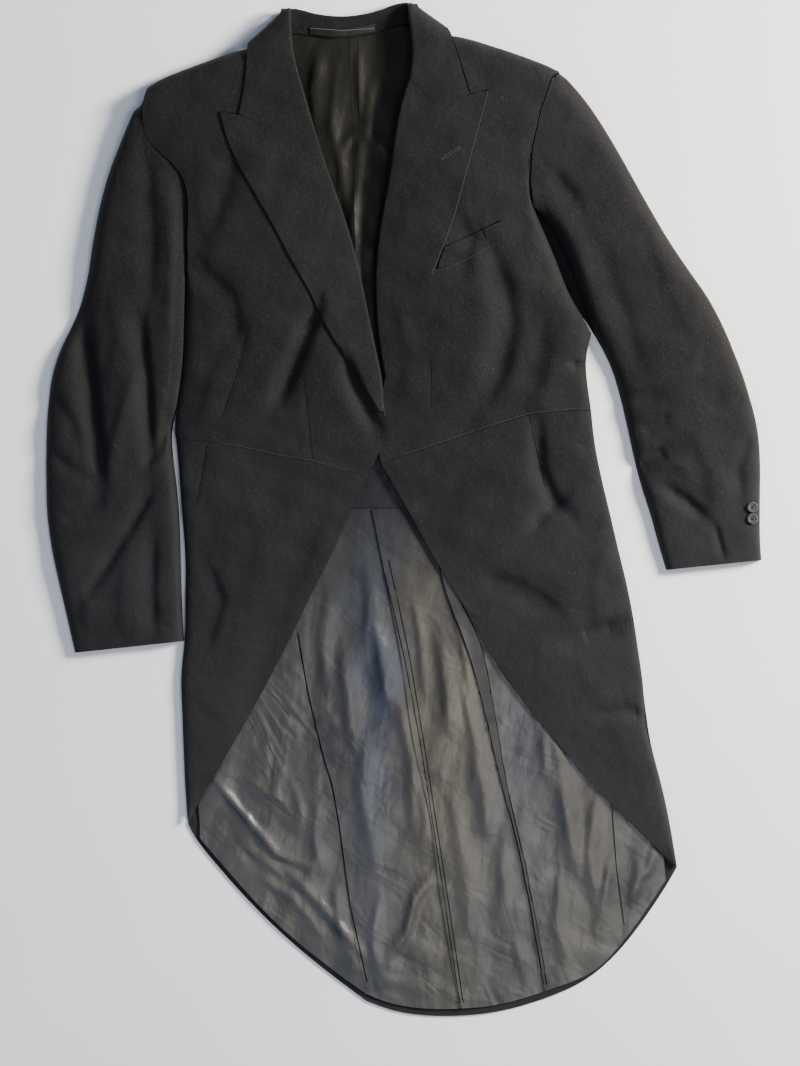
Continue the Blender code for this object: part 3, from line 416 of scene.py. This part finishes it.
def make_tail_satin():
    made, tree, shader, place = new_material("Tail lining satin")
    sides = add(tree, "ShaderNodeSeparateXYZ", {"Vector": place})
    across = sides.outputs["X"]
    up = sides.outputs["Y"]
    drift = remap(tree, noise(tree, place, 9.0, 3.0, 1.0), 0.0, 1.0, -0.05, 0.05)
    bent = add(tree, "ShaderNodeMath", {0: across, 1: drift}, operation="ADD").outputs[0]
    bands = ramp(tree, remap(tree, bent, -0.25, 0.31), [
        (0.0, (0.022, 0.022, 0.022)), (0.16, (0.034, 0.032, 0.030)), (0.32, (0.025, 0.025, 0.025)),
        (0.37, (0.018, 0.023, 0.037)), (0.41, (0.026, 0.030, 0.041)), (0.47, (0.044, 0.039, 0.029)),
        (0.58, (0.050, 0.045, 0.035)), (0.66, (0.031, 0.033, 0.040)), (0.8, (0.038, 0.035, 0.029)),
        (1.0, (0.020, 0.020, 0.025))])
    low = remap(tree, up, -0.25, -0.42, 0.0, 0.7)
    bands = blend(tree, low, bands, (0.036, 0.035, 0.032, 1))
    blotch = ramp(tree, noise(tree, stretch(tree, place, (16, 7, 10), 0.15), 1.0, 4.0, 1.3), [
        (0.32, (0.6, 0.6, 0.64)), (0.5, (1.0, 1.0, 1.0)), (0.68, (1.35, 1.34, 1.32))])
    colour = add(tree, "ShaderNodeMix", {0: 1.0, 6: bands, 7: blotch}, data_type="RGBA",
                 blend_type="MULTIPLY").outputs[2]
    shade = remap(tree, up, -0.19, 0.03)
    colour = blend(tree, shade, colour, DEEP_SHADE)
    tree.links.new(colour, shader.inputs["Base Color"])
    rough = remap(tree, noise(tree, place, 40.0, 3.0), 0.3, 0.7, 0.36, 0.46)
    dull = add(tree, "ShaderNodeMath", {0: shade, 1: 0.55, 2: rough}, operation="MULTIPLY_ADD")
    tree.links.new(dull.outputs[0], shader.inputs["Roughness"])
    shader.inputs["Specular IOR Level"].default_value = 0.5
    satin_bumps(tree, shader, place, 1.0)
    return made


def make_neck_satin():
    made, tree, shader, place = new_material("Neck lining satin")
    blotch = noise(tree, stretch(tree, place, (20, 8, 10), 0.1), 1.0, 4.0, 1.2)
    colour = ramp(tree, blotch, [(0.3, (0.005, 0.005, 0.004)), (0.55, (0.011, 0.0103, 0.008)),
                                 (0.75, (0.020, 0.019, 0.014))])
    low = remap(tree, add(tree, "ShaderNodeSeparateXYZ", {"Vector": place}).outputs["Y"], 0.12, 0.06)
    colour = blend(tree, low, colour, SHADED_SATIN)
    tree.links.new(colour, shader.inputs["Base Color"])
    shader.inputs["Roughness"].default_value = 0.42
    shader.inputs["Specular IOR Level"].default_value = 0.16
    satin_bumps(tree, shader, place, 0.7)
    return made


def make_plain(name, dark, light, rough, scale, gloss=0.5):
    made, tree, shader, place = new_material(name)
    colour = ramp(tree, noise(tree, place, scale, 3.0, 1.0), [(0.35, dark), (0.65, light)])
    tree.links.new(colour, shader.inputs["Base Color"])
    shader.inputs["Roughness"].default_value = rough
    shader.inputs["Specular IOR Level"].default_value = gloss
    bumps(tree, shader, [(noise(tree, place, scale * 3, 2.0), 0.00008)])
    return made


WOOL = make_wool()
TAIL_SATIN = make_tail_satin()
NECK_SATIN = make_neck_satin()
BAND_SATIN = make_plain("Seam band satin", (0.010, 0.010, 0.011), (0.020, 0.019, 0.018), 0.5, 40.0)
HORN = make_plain("Button horn", (0.022, 0.022, 0.025), (0.05, 0.05, 0.056), 0.34, 260.0)
# Dark thread: real thread on the cuff buttons, and painted shade in seams, slits and openings elsewhere.
DARK_THREAD_AND_SEAM_SHADE = make_plain("Dark thread and painted seam shade", (0.001, 0.001, 0.0012), (0.002, 0.002, 0.003), 0.9, 1500.0, 0.0)
# Grey thread: real loose ends and bar tacks, and painted highlights on turned edges elsewhere.
GREY_THREAD_AND_EDGE_HIGHLIGHT = make_plain("Grey thread and painted edge highlight", (0.032, 0.032, 0.032), (0.05, 0.05, 0.048), 0.8, 1500.0, 0.1)
PALE_THREAD = make_plain("Pale thread", (0.07, 0.066, 0.06), (0.12, 0.115, 0.1), 0.7, 1500.0, 0.2)
CLOTH = {"wool": WOOL, "tail_lining": TAIL_SATIN, "neck_lining": NECK_SATIN, "button": HORN}
SLOTS = {part["node"]: part["material_slot"] for part in frame["record"]["subparts"]}
print("materials:", len(bpy.data.materials))

# %% [markdown]
# ## How a crease lifts the cloth
#
# A crease is steeper on one side than on the other and dies out at both ends. Besides the creases
# the cloth is never quite even, so long low waves run through it.

# %% Heights of creases and waves
def crease_rise(rows, places, trough=1.0, ridge=1.0):
    """Height that a table of creases adds at each place, in millimetres."""
    total = np.zeros(len(places))
    for points, wide, rise in rows:
        rise *= trough if rise < 0 else ridge
        points = np.array(points, float)
        low = points.min(0) - 4 * wide
        high = points.max(0) + 4 * wide
        near = np.where(((places > low) & (places < high)).all(1))[0]
        if not len(near):
            continue
        here = places[near]
        steps = np.diff(points, axis=0)
        lengths = np.linalg.norm(steps, axis=1)
        nearest = np.full(len(here), 1e9)
        gone = np.zeros(len(here))
        side = np.ones(len(here))
        for i, (start, step, length) in enumerate(zip(points, steps, lengths)):
            share = np.clip((here - start) @ step / length ** 2, 0, 1)
            off = here - start - share[:, None] * step
            away = np.linalg.norm(off, axis=1)
            closer = away < nearest
            nearest[closer] = away[closer]
            gone[closer] = (lengths[:i].sum() + share[closer] * length) / lengths.sum()
            side[closer] = np.sign(step[0] * off[closer, 1] - step[1] * off[closer, 0])
        right_share = 0.7 if rise < 0 else 1.3
        reach = wide * np.where(side > 0, right_share, 2 - right_share)
        ends = np.clip(np.minimum(gone, 1 - gone) * 5, 0, 1)
        total[near] += rise * (0.35 + 0.65 * ends) * np.exp(-(nearest / reach) ** 2)
    return total


WAVES = ((0.021, 0.047, 0.4), (-0.052, 0.018, 1.9), (0.083, 0.031, 3.1), (0.036, -0.094, 4.4),
         (-0.121, 0.072, 5.2), (0.064, 0.142, 0.9))


def unevenness(places, height):
    """Long low waves over the cloth, in millimetres."""
    total = np.zeros(len(places))
    for across, up, start in WAVES:
        bend = 0.8 * np.sin(0.013 * places[:, 0] + 0.017 * places[:, 1] + start)
        total += np.sin(across * places[:, 0] + up * places[:, 1] + start + bend)
    return total * height / len(WAVES) * 2


def coordinates(piece):
    """A piece's points in metres."""
    points = np.zeros(len(piece.data.vertices) * 3)
    piece.data.vertices.foreach_get("co", points)
    return points.reshape(-1, 3)


def set_coordinates(piece, points):
    piece.data.vertices.foreach_set("co", points.ravel())
    piece.data.update()


def fold_tree():
    """The outer fold lines, where the underside curls up to meet the top."""
    found = []
    for node in UNDERSIDE:
        points = coordinates(frame["nodes"][node])
        found.extend(point for point in points if point[2] > 3.5 * MM)
    tree = KDTree(len(found))
    for i, point in enumerate(found):
        tree.insert((point[0], point[1], 0), i)
    tree.balance()
    return tree


FOLDS = fold_tree()


def inside_fold(points, reach):
    """0 on an outer fold line and 1 further in."""
    away = np.array([FOLDS.find((x, y, 0))[2] for x, y, _ in points]) / MM
    t = np.clip(away / reach, 0, 1)
    return t * t * (3 - 2 * t)


# %% [markdown]
# ## Finer pieces
#
# A pattern piece is copied, its triangles are joined into quads, its cut edges are kept crisp, and
# subdivision rounds the rest.

# %% Copies of the pattern pieces
def finer(node, levels):
    """A finer copy of a pattern piece, in the same place."""
    piece = bpy.data.objects.new(f"{node}_cloth", frame["nodes"][node].data.copy())
    bpy.context.scene.collection.objects.link(piece)
    mesh = bmesh.new()
    mesh.from_mesh(piece.data)
    bmesh.ops.remove_doubles(mesh, verts=mesh.verts, dist=0.03 * MM)
    bmesh.ops.join_triangles(mesh, faces=mesh.faces, angle_face_threshold=math.radians(40),
                             angle_shape_threshold=math.radians(60))
    crease = mesh.edges.layers.float.new("crease_edge")
    for edge in mesh.edges:
        if len(edge.link_faces) != 2:
            continue
        turn = math.degrees(edge.calc_face_angle())
        along = edge.verts[1].co - edge.verts[0].co
        upright = abs(along.z) > 0.7 * along.length and along.length < 3 * MM
        if turn > 62 or (upright and turn > 35):
            edge[crease] = 1.0
        edge.smooth = turn < 62
    mesh.to_mesh(piece.data)
    mesh.free()
    for name in ("custom_normal", "sharp_face"):
        if name in piece.data.attributes:
            piece.data.attributes.remove(piece.data.attributes[name])
    bpy.context.view_layer.objects.active = piece
    rounded = piece.modifiers.new("Rounded", "SUBSURF")
    rounded.levels = levels
    rounded.render_levels = levels
    bpy.ops.object.modifier_apply(modifier=rounded.name)
    piece.data.shade_smooth()
    piece.data.set_sharp_from_angle(angle=math.radians(50))
    piece.data.materials.clear()
    piece.data.materials.append(CLOTH[SLOTS[node]])
    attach(piece, "root")
    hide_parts(node)
    return piece


def surface(pieces):
    """One tree of triangles of some pieces, for finding what lies above or below a point."""
    points = []
    faces = []
    for piece in pieces:
        start = len(points)
        points.extend(vertex.co.copy() for vertex in piece.data.vertices)
        faces.extend([start + i for i in face.vertices] for face in piece.data.polygons)
    return BVHTree.FromPolygons(points, faces)


pieces = {}
for node in CUTS:
    pieces[node] = finer(node, 2 if node in UNDERSIDE else 3)
faces = [face for piece in pieces.values() for face in piece.data.polygons]
print("triangles:", sum(len(face.vertices) - 2 for face in faces))

# %% [markdown]
# ## The fronts and sleeves
#
# The same heights run over every piece of the front, so lapels and skirts stay on what they cover.
# A trough never sinks through the lining below it, nor below the surface that the coat lies on.
# The sleeves are drawn up to the body, so no gap shows at the armholes, and the corners at the
# shoulder and the collar are pushed into the rounder line that they have on the real coat.

# %% Creases in the fronts, sleeves and underside
def seen_from_above(some):
    """Pieces pressed flat, for finding how far a place is from their outline."""
    points = []
    faces = []
    for piece in some:
        start = len(points)
        points.extend((vertex.co.x, vertex.co.y, 0) for vertex in piece.data.vertices)
        faces.extend([start + i for i in face.vertices] for face in piece.data.polygons)
    return BVHTree.FromPolygons(points, faces)


def close_armhole(sleeve, down_to):
    """Draw the body side of a sleeve up to the body, with a hair's breadth left between them."""
    points = coordinates(sleeve)
    far = 11 * MM
    for point in points:
        nearest, _, _, away = BODY_EDGE.find_nearest((point[0], point[1], 0))
        if away > far or away < 0.3 * MM:
            continue
        share = min((far - away) / (5 * MM), 1.0)
        share *= min(max((point[1] - down_to * MM) / (25 * MM), 0.0), 1.0)
        point[:2] += (np.array(nearest[:2]) - point[:2]) * (1 - 0.3 * MM / away) * share
    set_coordinates(sleeve, points)


DOWN = Vector((0, 0, -1))
WALL = 1.6
SPARE = 0.6
LOWEST_FRONT = surface([pieces[node] for node in ("forepart_left", "forepart_right", "skirt_left",
                                                  "skirt_right")])
LINING_BELOW = surface([pieces[node] for node in TAIL_LINING + NECK_LINING])


def room_below(points):
    """How far the front may sink at each place before it meets the lining, in millimetres."""
    room = np.full(len(points), 20.0)
    for i, (x, y, _) in enumerate(points):
        start = Vector((x, y, 0.1))
        front = LOWEST_FRONT.ray_cast(start, DOWN)[0]
        lining = LINING_BELOW.ray_cast(start, DOWN)[0]
        if front and lining:
            room[i] = (front.z - lining.z) / MM - WALL - SPARE
    return np.maximum(room, 0.1)


for node in FRONTS:
    points = coordinates(pieces[node])
    flat = points[:, :2] / MM
    rise = crease_rise(FRONT_CREASES, flat, 2.7, 1.1) + crease_rise(DARTS, flat)
    low_skirt = np.clip((flat[:, 1] + 330) / 300, 0.25, 1)
    rise += unevenness(flat, 0.8) * low_skirt
    rise *= inside_fold(points, 16)
    room = room_below(points)
    rise = np.where(rise < 0, -room * np.tanh(-rise / room), rise)
    points[:, 2] = np.maximum(points[:, 2] + rise * MM, 0)
    set_coordinates(pieces[node], points)



def push_corner(node, middle, push, reach):
    """Push the cloth round one place aside, less and less with distance, in millimetres."""
    points = coordinates(pieces[node])
    away = np.hypot(points[:, 0] / MM - middle[0], points[:, 1] / MM - middle[1])
    points[:, :2] += np.exp(-(away / reach) ** 2)[:, None] * np.array(push) * MM
    set_coordinates(pieces[node], points)


push_corner("forepart_left", (166, 484), (2.6, -1.6), 8)
push_corner("collar_left", (6.2, 563.4), (0.4, -2.0), 4)
push_corner("collar_left", (14.5, 561.6), (-0.8, -1.0), 4)
push_corner("collar_right", (-127.7, 558), (-0.4, -2.4), 4)
push_corner("collar_right", (-135.8, 555.9), (0.8, -1.0), 4)
BODY_EDGE = seen_from_above([pieces["forepart_left"], pieces["forepart_right"]])
for node, down_to in (("top_sleeve_right", 90), ("under_sleeve_right", 90), ("top_sleeve_left", 320),
                      ("under_sleeve_left", 205)):
    close_armhole(pieces[node], down_to)
for node, rows in (("top_sleeve_right", RIGHT_SLEEVE_CREASES), ("top_sleeve_left", LEFT_SLEEVE_CREASES)):
    points = coordinates(pieces[node])
    flat = points[:, :2] / MM
    rise = crease_rise(rows, flat, 1.9, 1.2) + unevenness(flat, 0.7)
    points[:, 2] = np.maximum(points[:, 2] + rise * inside_fold(points, 14) * MM, 0)
    set_coordinates(pieces[node], points)
for node in UNDERSIDE:
    points = coordinates(pieces[node])
    lower = points[:, 2] < 0.5 * MM
    hollow = np.clip(crease_rise(UNDER_CREASES, points[:, :2] / MM), 0, 0.9)
    points[lower, 2] += hollow[lower] * MM
    set_coordinates(pieces[node], points)
print("creased fronts, sleeves and underside")

# %% [markdown]
# ## The linings
#
# The lining is a little full. It lifts in folds where nothing covers it and stays flat under the
# skirts, with some room left below what covers it.

# %% Creases in the linings
COVER = surface([pieces[node] for node in FRONTS])
ABOVE = Vector((0, 0, 1))


def lift_lining(node, rows, fullness, strength):
    points = coordinates(pieces[node])
    flat = points[:, :2] / MM
    rise = fullness + strength * crease_rise(rows, flat) + unevenness(flat, 0.5)
    rise = np.maximum(rise, 0)
    for i, point in enumerate(points):
        hit = COVER.ray_cast(Vector(point), ABOVE, 0.04)[0]
        if hit:
            free = (hit.z - point[2]) / MM - 2.2
            rise[i] = min(rise[i], max(free, 0) * 0.6)
    points[:, 2] += rise * MM
    set_coordinates(pieces[node], points)


for node in TAIL_LINING:
    lift_lining(node, TAIL_CREASES, 0.9, 1.5)
pieces["pleat_edge_left"].data.materials[0] = BAND_SATIN
for node in NECK_LINING:
    lift_lining(node, NECK_CREASES, 0.7, 1.0)
print("creased linings")

# %% [markdown]
# ## Seams and thread
#
# Seams and edges that catch the light or hide in shadow are fine threads laid on the cloth. The
# darker ones are painted shade in the depth of a seam, and the paler ones are painted highlights on its
# turned edge.

# %% Threads, and the seams of the waist and linings
def on_cloth(ground, x, y, lift):
    """The point on some cloth under a place in millimetres, raised a little, or nothing beside it."""
    hit = ground.ray_cast(Vector((x * MM, y * MM, 0.1)), DOWN)[0]
    return Vector((x * MM, y * MM, hit.z + lift * MM)) if hit else None


def spaced(points, gap):
    """Points at even gaps along a line of points."""
    found = []
    for (x0, y0), (x1, y1) in zip(points, points[1:]):
        count = max(int(math.hypot(x1 - x0, y1 - y0) / gap), 1)
        found.extend((x0 + (x1 - x0) * i / count, y0 + (y1 - y0) * i / count) for i in range(count))
    return found + [points[-1]]


def threads(name, lines, ground, thick, lift, material, gap=4.0):
    """Thread laid on cloth along one or more lines of points in millimetres."""
    made = bpy.data.curves.new(name, "CURVE")
    made.dimensions = "3D"
    made.bevel_depth = thick / 2 * MM
    made.bevel_resolution = 1
    for line in lines:
        points = [on_cloth(ground, x, y, lift) for x, y in spaced(line, gap)]
        points = [point for point in points if point]
        spline = made.splines.new("POLY")
        spline.points.add(len(points) - 1)
        for target, point in zip(spline.points, points):
            target.co = (*point, 1)
    made.materials.append(material)
    thread = bpy.data.objects.new(name, made)
    bpy.context.scene.collection.objects.link(thread)
    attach(thread, "root")
    return thread


WOOL_TOP = surface([pieces[node] for node in FRONTS])
SLEEVE_TOP = surface([pieces["top_sleeve_left"], pieces["top_sleeve_right"]])
LINING_TOP = surface([pieces[node] for node in TAIL_LINING + NECK_LINING])
# Painted shade: a dark thread in each dart seam.
threads("dart_seams", [points for points, _, _ in DARTS], WOOL_TOP, 0.5, -0.05, DARK_THREAD_AND_SEAM_SHADE)


def stitched(points, gap, long):
    """Short stitches along a line of points."""
    places = spaced(points, gap)
    found = []
    for (x0, y0), (x1, y1) in zip(places[::2], places[1::2]):
        share = long / max(math.hypot(x1 - x0, y1 - y0), 0.01)
        found.append([(x0, y0), (x0 + (x1 - x0) * share, y0 + (y1 - y0) * share)])
    return found


# Painted highlights: grey threads where the edges at the waist seam catch the light.
WAIST_EDGES = ([(-205, 74), (-176, 69), (-137, 60), (-105, 55), (-60, 43)],
               [(0, 61), (43, 75.5), (84, 89.5), (103, 95.5), (138, 106.5), (190, 112)])
threads("waist_edges", WAIST_EDGES, WOOL_TOP, 0.6, 0.0, GREY_THREAD_AND_EDGE_HIGHLIGHT)
# Painted shade: dark threads in the depths of the lining's seams, the vent, the pleat band's edges and the
# neck pleat.
PLEAT_SEAM = [(-118, -137), (-107, -203), (-91, -271), (-80, -306), (-73, -345), (-60, -440), (-41, -525)]
threads("pleat_seam_right", [PLEAT_SEAM], LINING_TOP, 1.2, 0.0, DARK_THREAD_AND_SEAM_SHADE)
threads("lining_seam_left", [[(227, -300), (231, -326), (236, -395), (245, -462)]], LINING_TOP, 0.8, 0.0,
        DARK_THREAD_AND_SEAM_SHADE)
VENT_LINES = ([(-25, -56), (-12, -110), (1, -167), (18, -258), (40, -400), (62, -548)],
              [(-17, -56), (-5, -110), (7, -167), (22, -258), (44, -400), (66, -548)])


def band_edges():
    """Lines along both edges of the band beside the left pleat, read off the band itself."""
    points = coordinates(pieces["pleat_edge_left"]) / MM
    left = []
    right = []
    for up in range(-60, -536, -12):
        near = points[np.abs(points[:, 1] - up) < 5]
        if len(near):
            left.append((near[:, 0].min() + 0.3, up))
            right.append((near[:, 0].max() - 0.3, up))
    return [left, right]


threads("band_edges", band_edges(), LINING_TOP, 1.0, 0.0, DARK_THREAD_AND_SEAM_SHADE)
threads("vent_lines", VENT_LINES, LINING_TOP, 0.8, 0.0, DARK_THREAD_AND_SEAM_SHADE)
LOOP_TOP = surface([pieces["hanger_loop"]])
LOOP_EDGES = ([(-104, 541.5), (-68, 538), (-33, 541)], [(-104, 534), (-68, 531), (-33, 534)])
threads("loop_edges", LOOP_EDGES, LOOP_TOP, 0.9, 0.0, PALE_THREAD, 2.0)
threads("neck_pleat", [[(-51, 521), (-51, 470), (-50, 432)]], LINING_TOP, 0.5, 0.0, DARK_THREAD_AND_SEAM_SHADE)

# %% [markdown]
# ## Armholes, gorges, pocket and buttonhole
#
# The armhole seams, the gorges between lapel and collar and the welt's edges are laid as the other
# seams are. The dark threads along the left armhole, the gorges, the left collar's edge and the
# pocket's mouth are painted shade, and the grey ones on the welt's foot and the left lapel's edge are
# painted highlights. The worked buttonhole in the left lapel is a slit, a dark thread of painted
# shade, with close stitches on both sides.

# %% Seams of the upper coat
def buttonhole(start, end):
    along = Vector(end) - Vector(start)
    aside = Vector((-along.y, along.x)).normalized()
    lines = []
    count = 24
    for i in range(count + 1):
        middle = Vector(start) + along * i / count
        for side in (-1, 1):
            near = middle + aside * 0.25 * side
            far = middle + aside * 1.25 * side
            lines.append([tuple(near), tuple(far)])
    return lines


# Painted shadow: a thick dark thread along the left armhole, where the sleeve's side lies in shade.
ARMHOLE_SEAM = [(170.8, 483), (163.3, 477), (151.8, 443), (141.8, 401), (139.8, 361), (142.8, 340)]
threads("armhole_seam_left", [ARMHOLE_SEAM], surface([pieces["forepart_left"], pieces["top_sleeve_left"]]),
        1.8, -0.5, DARK_THREAD_AND_SEAM_SHADE, 3.0)
RIGHT_ARMHOLE = [(-285.5, 466), (-290, 441), (-287, 412), (-280, 402), (-270, 393), (-258, 383),
                 (-247.5, 375)]
threads("armhole_seam_right", [RIGHT_ARMHOLE],
        surface([pieces["forepart_right"], pieces["top_sleeve_right"]]), 4.0, -1.9, WOOL, 3.0)
GORGES = ([(-203, 439), (-182, 436), (-148, 420)], [(93, 462.5), (72, 458), (40, 439)])
threads("gorge_shadows", GORGES, WOOL_TOP, 0.9, 0.0, DARK_THREAD_AND_SEAM_SHADE, 2.0)
# Painted shade: a dark thread in the pocket's mouth above the welt.
threads("pocket_mouth", [[(46, 290.5), (76, 304.5), (107, 319.5)]], WOOL_TOP, 1.0, 0.0, DARK_THREAD_AND_SEAM_SHADE)
# Painted highlight: a grey thread where the welt's foot catches the light.
threads("welt_foot", [[(46, 265.5), (76, 280), (108, 297.5)]], WOOL_TOP, 0.5, 0.0, GREY_THREAD_AND_EDGE_HIGHLIGHT)
# Painted highlight: a grey thread where the left lapel's edge catches the light.
LEFT_LAPEL_EDGE = [(92.5, 461), (86.5, 438), (69.5, 376), (55.5, 325), (45.5, 297), (30.5, 260)]
threads("left_lapel_edge", [LEFT_LAPEL_EDGE], WOOL_TOP, 0.8, 0.0, GREY_THREAD_AND_EDGE_HIGHLIGHT)
COLLAR_EDGE = [(47.8, 532), (52.8, 523), (62.8, 492), (72.8, 460)]
threads("left_collar_shadow", [COLLAR_EDGE], WOOL_TOP, 1.0, 0.0, DARK_THREAD_AND_SEAM_SHADE, 2.0)
GORGE_SEAMS = ([(7, 478), (38, 441)], [(-113, 462), (-146, 423)])
threads("gorge_seams", GORGE_SEAMS, WOOL_TOP, 2.0, -0.8, WOOL, 2.0)
threads("buttonhole_stitches", buttonhole((41, 386), (62, 399)), WOOL_TOP, 0.55, 0.1, PALE_THREAD,
        1.0)
# Painted shade: the buttonhole's slit is a dark thread.
threads("buttonhole_slit", [[(41.2, 386.2), (62, 399)]], WOOL_TOP, 1.1, 0.3, DARK_THREAD_AND_SEAM_SHADE, 2.0)
threads("loose_end_closing", [[(-24, 116), (-21, 111), (-22, 106), (-20, 103)]], WOOL_TOP, 0.7, 0.2,
        GREY_THREAD_AND_EDGE_HIGHLIGHT, 1.5)
threads("loose_end_cuff", [[(383, -38), (385, -41), (383, -43)]], SLEEVE_TOP, 0.7, 0.2, GREY_THREAD_AND_EDGE_HIGHLIGHT,
        1.5)
WELT_ENDS = ([(108, 318), (109, 299)], [(47, 289), (47, 268)])
threads("welt_bar_tacks", [stitch for end in WELT_ENDS for stitch in stitched(end, 1.2, 1.0)], WOOL_TOP, 0.4,
        0.1, GREY_THREAD_AND_EDGE_HIGHLIGHT, 1.0)

# %% [markdown]
# ## Cuff buttons
#
# The buttons keep their turned form. Two runs of thread cross each one between its holes.

# %% Button thread
for name in ("cuff_button_upper", "cuff_button_lower"):
    button = frame["nodes"][name]
    button.data.materials.clear()
    button.data.materials.append(HORN)
    low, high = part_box(name)
    middle = (low + high) / 2
    made = bpy.data.curves.new(f"{name}_thread", "CURVE")
    made.dimensions = "3D"
    made.bevel_depth = 0.28 * MM
    made.bevel_resolution = 1
    for turn in (0, 1):
        for strand in (-0.3, 0.3):
            spline = made.splines.new("POLY")
            spline.points.add(4)
            for target, (along, up) in zip(spline.points, ((-1.06, 1.2), (-0.9, 1.9), (0, 2.15), (0.9, 1.9),
                                                           (1.06, 1.2))):
                a = along * MM
                b = (1.06 if turn else -1.06) * MM + strand * 0.5 * MM
                target.co = (middle.x + a, middle.y + b, low.z + up * MM, 1)
    made.materials.append(DARK_THREAD_AND_SEAM_SHADE)
    thread = bpy.data.objects.new(f"{name}_thread", made)
    bpy.context.scene.collection.objects.link(thread)
    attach(thread, "root")

# %% [markdown]
# ## The cut of each sheet
#
# The flat size and area that each sheet was cut to, and what it rests on, are listed in the table of the
# cut.

# %% [markdown]
# ## Floor, light and camera
#
# A pale floor, a low light from the right of the picture, a soft one nearly overhead that the satin
# reflects, a weak cool one from the other side, and a camera straight overhead.

# %% The floor, the lights and the camera
made, tree, shader, place = new_material("Pale floor")
tint = ramp(tree, noise(tree, place, 3.0, 4.0), [(0.35, (0.88, 0.88, 0.88)), (0.65, (0.91, 0.91, 0.91))])
tree.links.new(tint, shader.inputs["Base Color"])
shader.inputs["Roughness"].default_value = 0.9
bpy.ops.mesh.primitive_plane_add(size=8, location=(0, 0, -0.0004))
floor = bpy.context.object
floor.name = "floor"
floor.data.materials.append(made)

for name, place, size, power, colour in (
        ("Key", (2.1, 0.9, 1.25), 0.7, 225, (1.0, 0.95, 0.87)),
        ("Satin light", (0.75, -0.6, 2.5), 0.9, 20, (1.0, 0.97, 0.93)),
        ("Cool fill", (-1.6, -1.6, 2.2), 1.4, 16, (0.6, 0.72, 1.0))):
    lamp = bpy.data.lights.new(name, "AREA")
    lamp.shape = "SQUARE"
    lamp.size = size
    lamp.energy = power
    lamp.color = colour
    light = bpy.data.objects.new(name, lamp)
    bpy.context.scene.collection.objects.link(light)
    light.location = place
    light.rotation_euler = (Vector((0, 0, 0)) - Vector(place)).to_track_quat("-Z", "Y").to_euler()

world = bpy.context.scene.world or bpy.data.worlds.new("World")
bpy.context.scene.world = world
world.use_nodes = True
world.node_tree.nodes["Background"].inputs[0].default_value = (0.64, 0.76, 1.0, 1)
world.node_tree.nodes["Background"].inputs[1].default_value = 0.33

FRAME_TALL = 1.183
CAMERA_HIGH = 2.8
lens = bpy.data.cameras.new("Overhead")
lens.sensor_fit = "VERTICAL"
lens.sensor_height = 36
lens.lens = 36 * CAMERA_HIGH / FRAME_TALL
camera = bpy.data.objects.new("Overhead", lens)
bpy.context.scene.collection.objects.link(camera)
camera.location = (-0.0044, -0.026, CAMERA_HIGH + 0.01)
bpy.context.scene.camera = camera
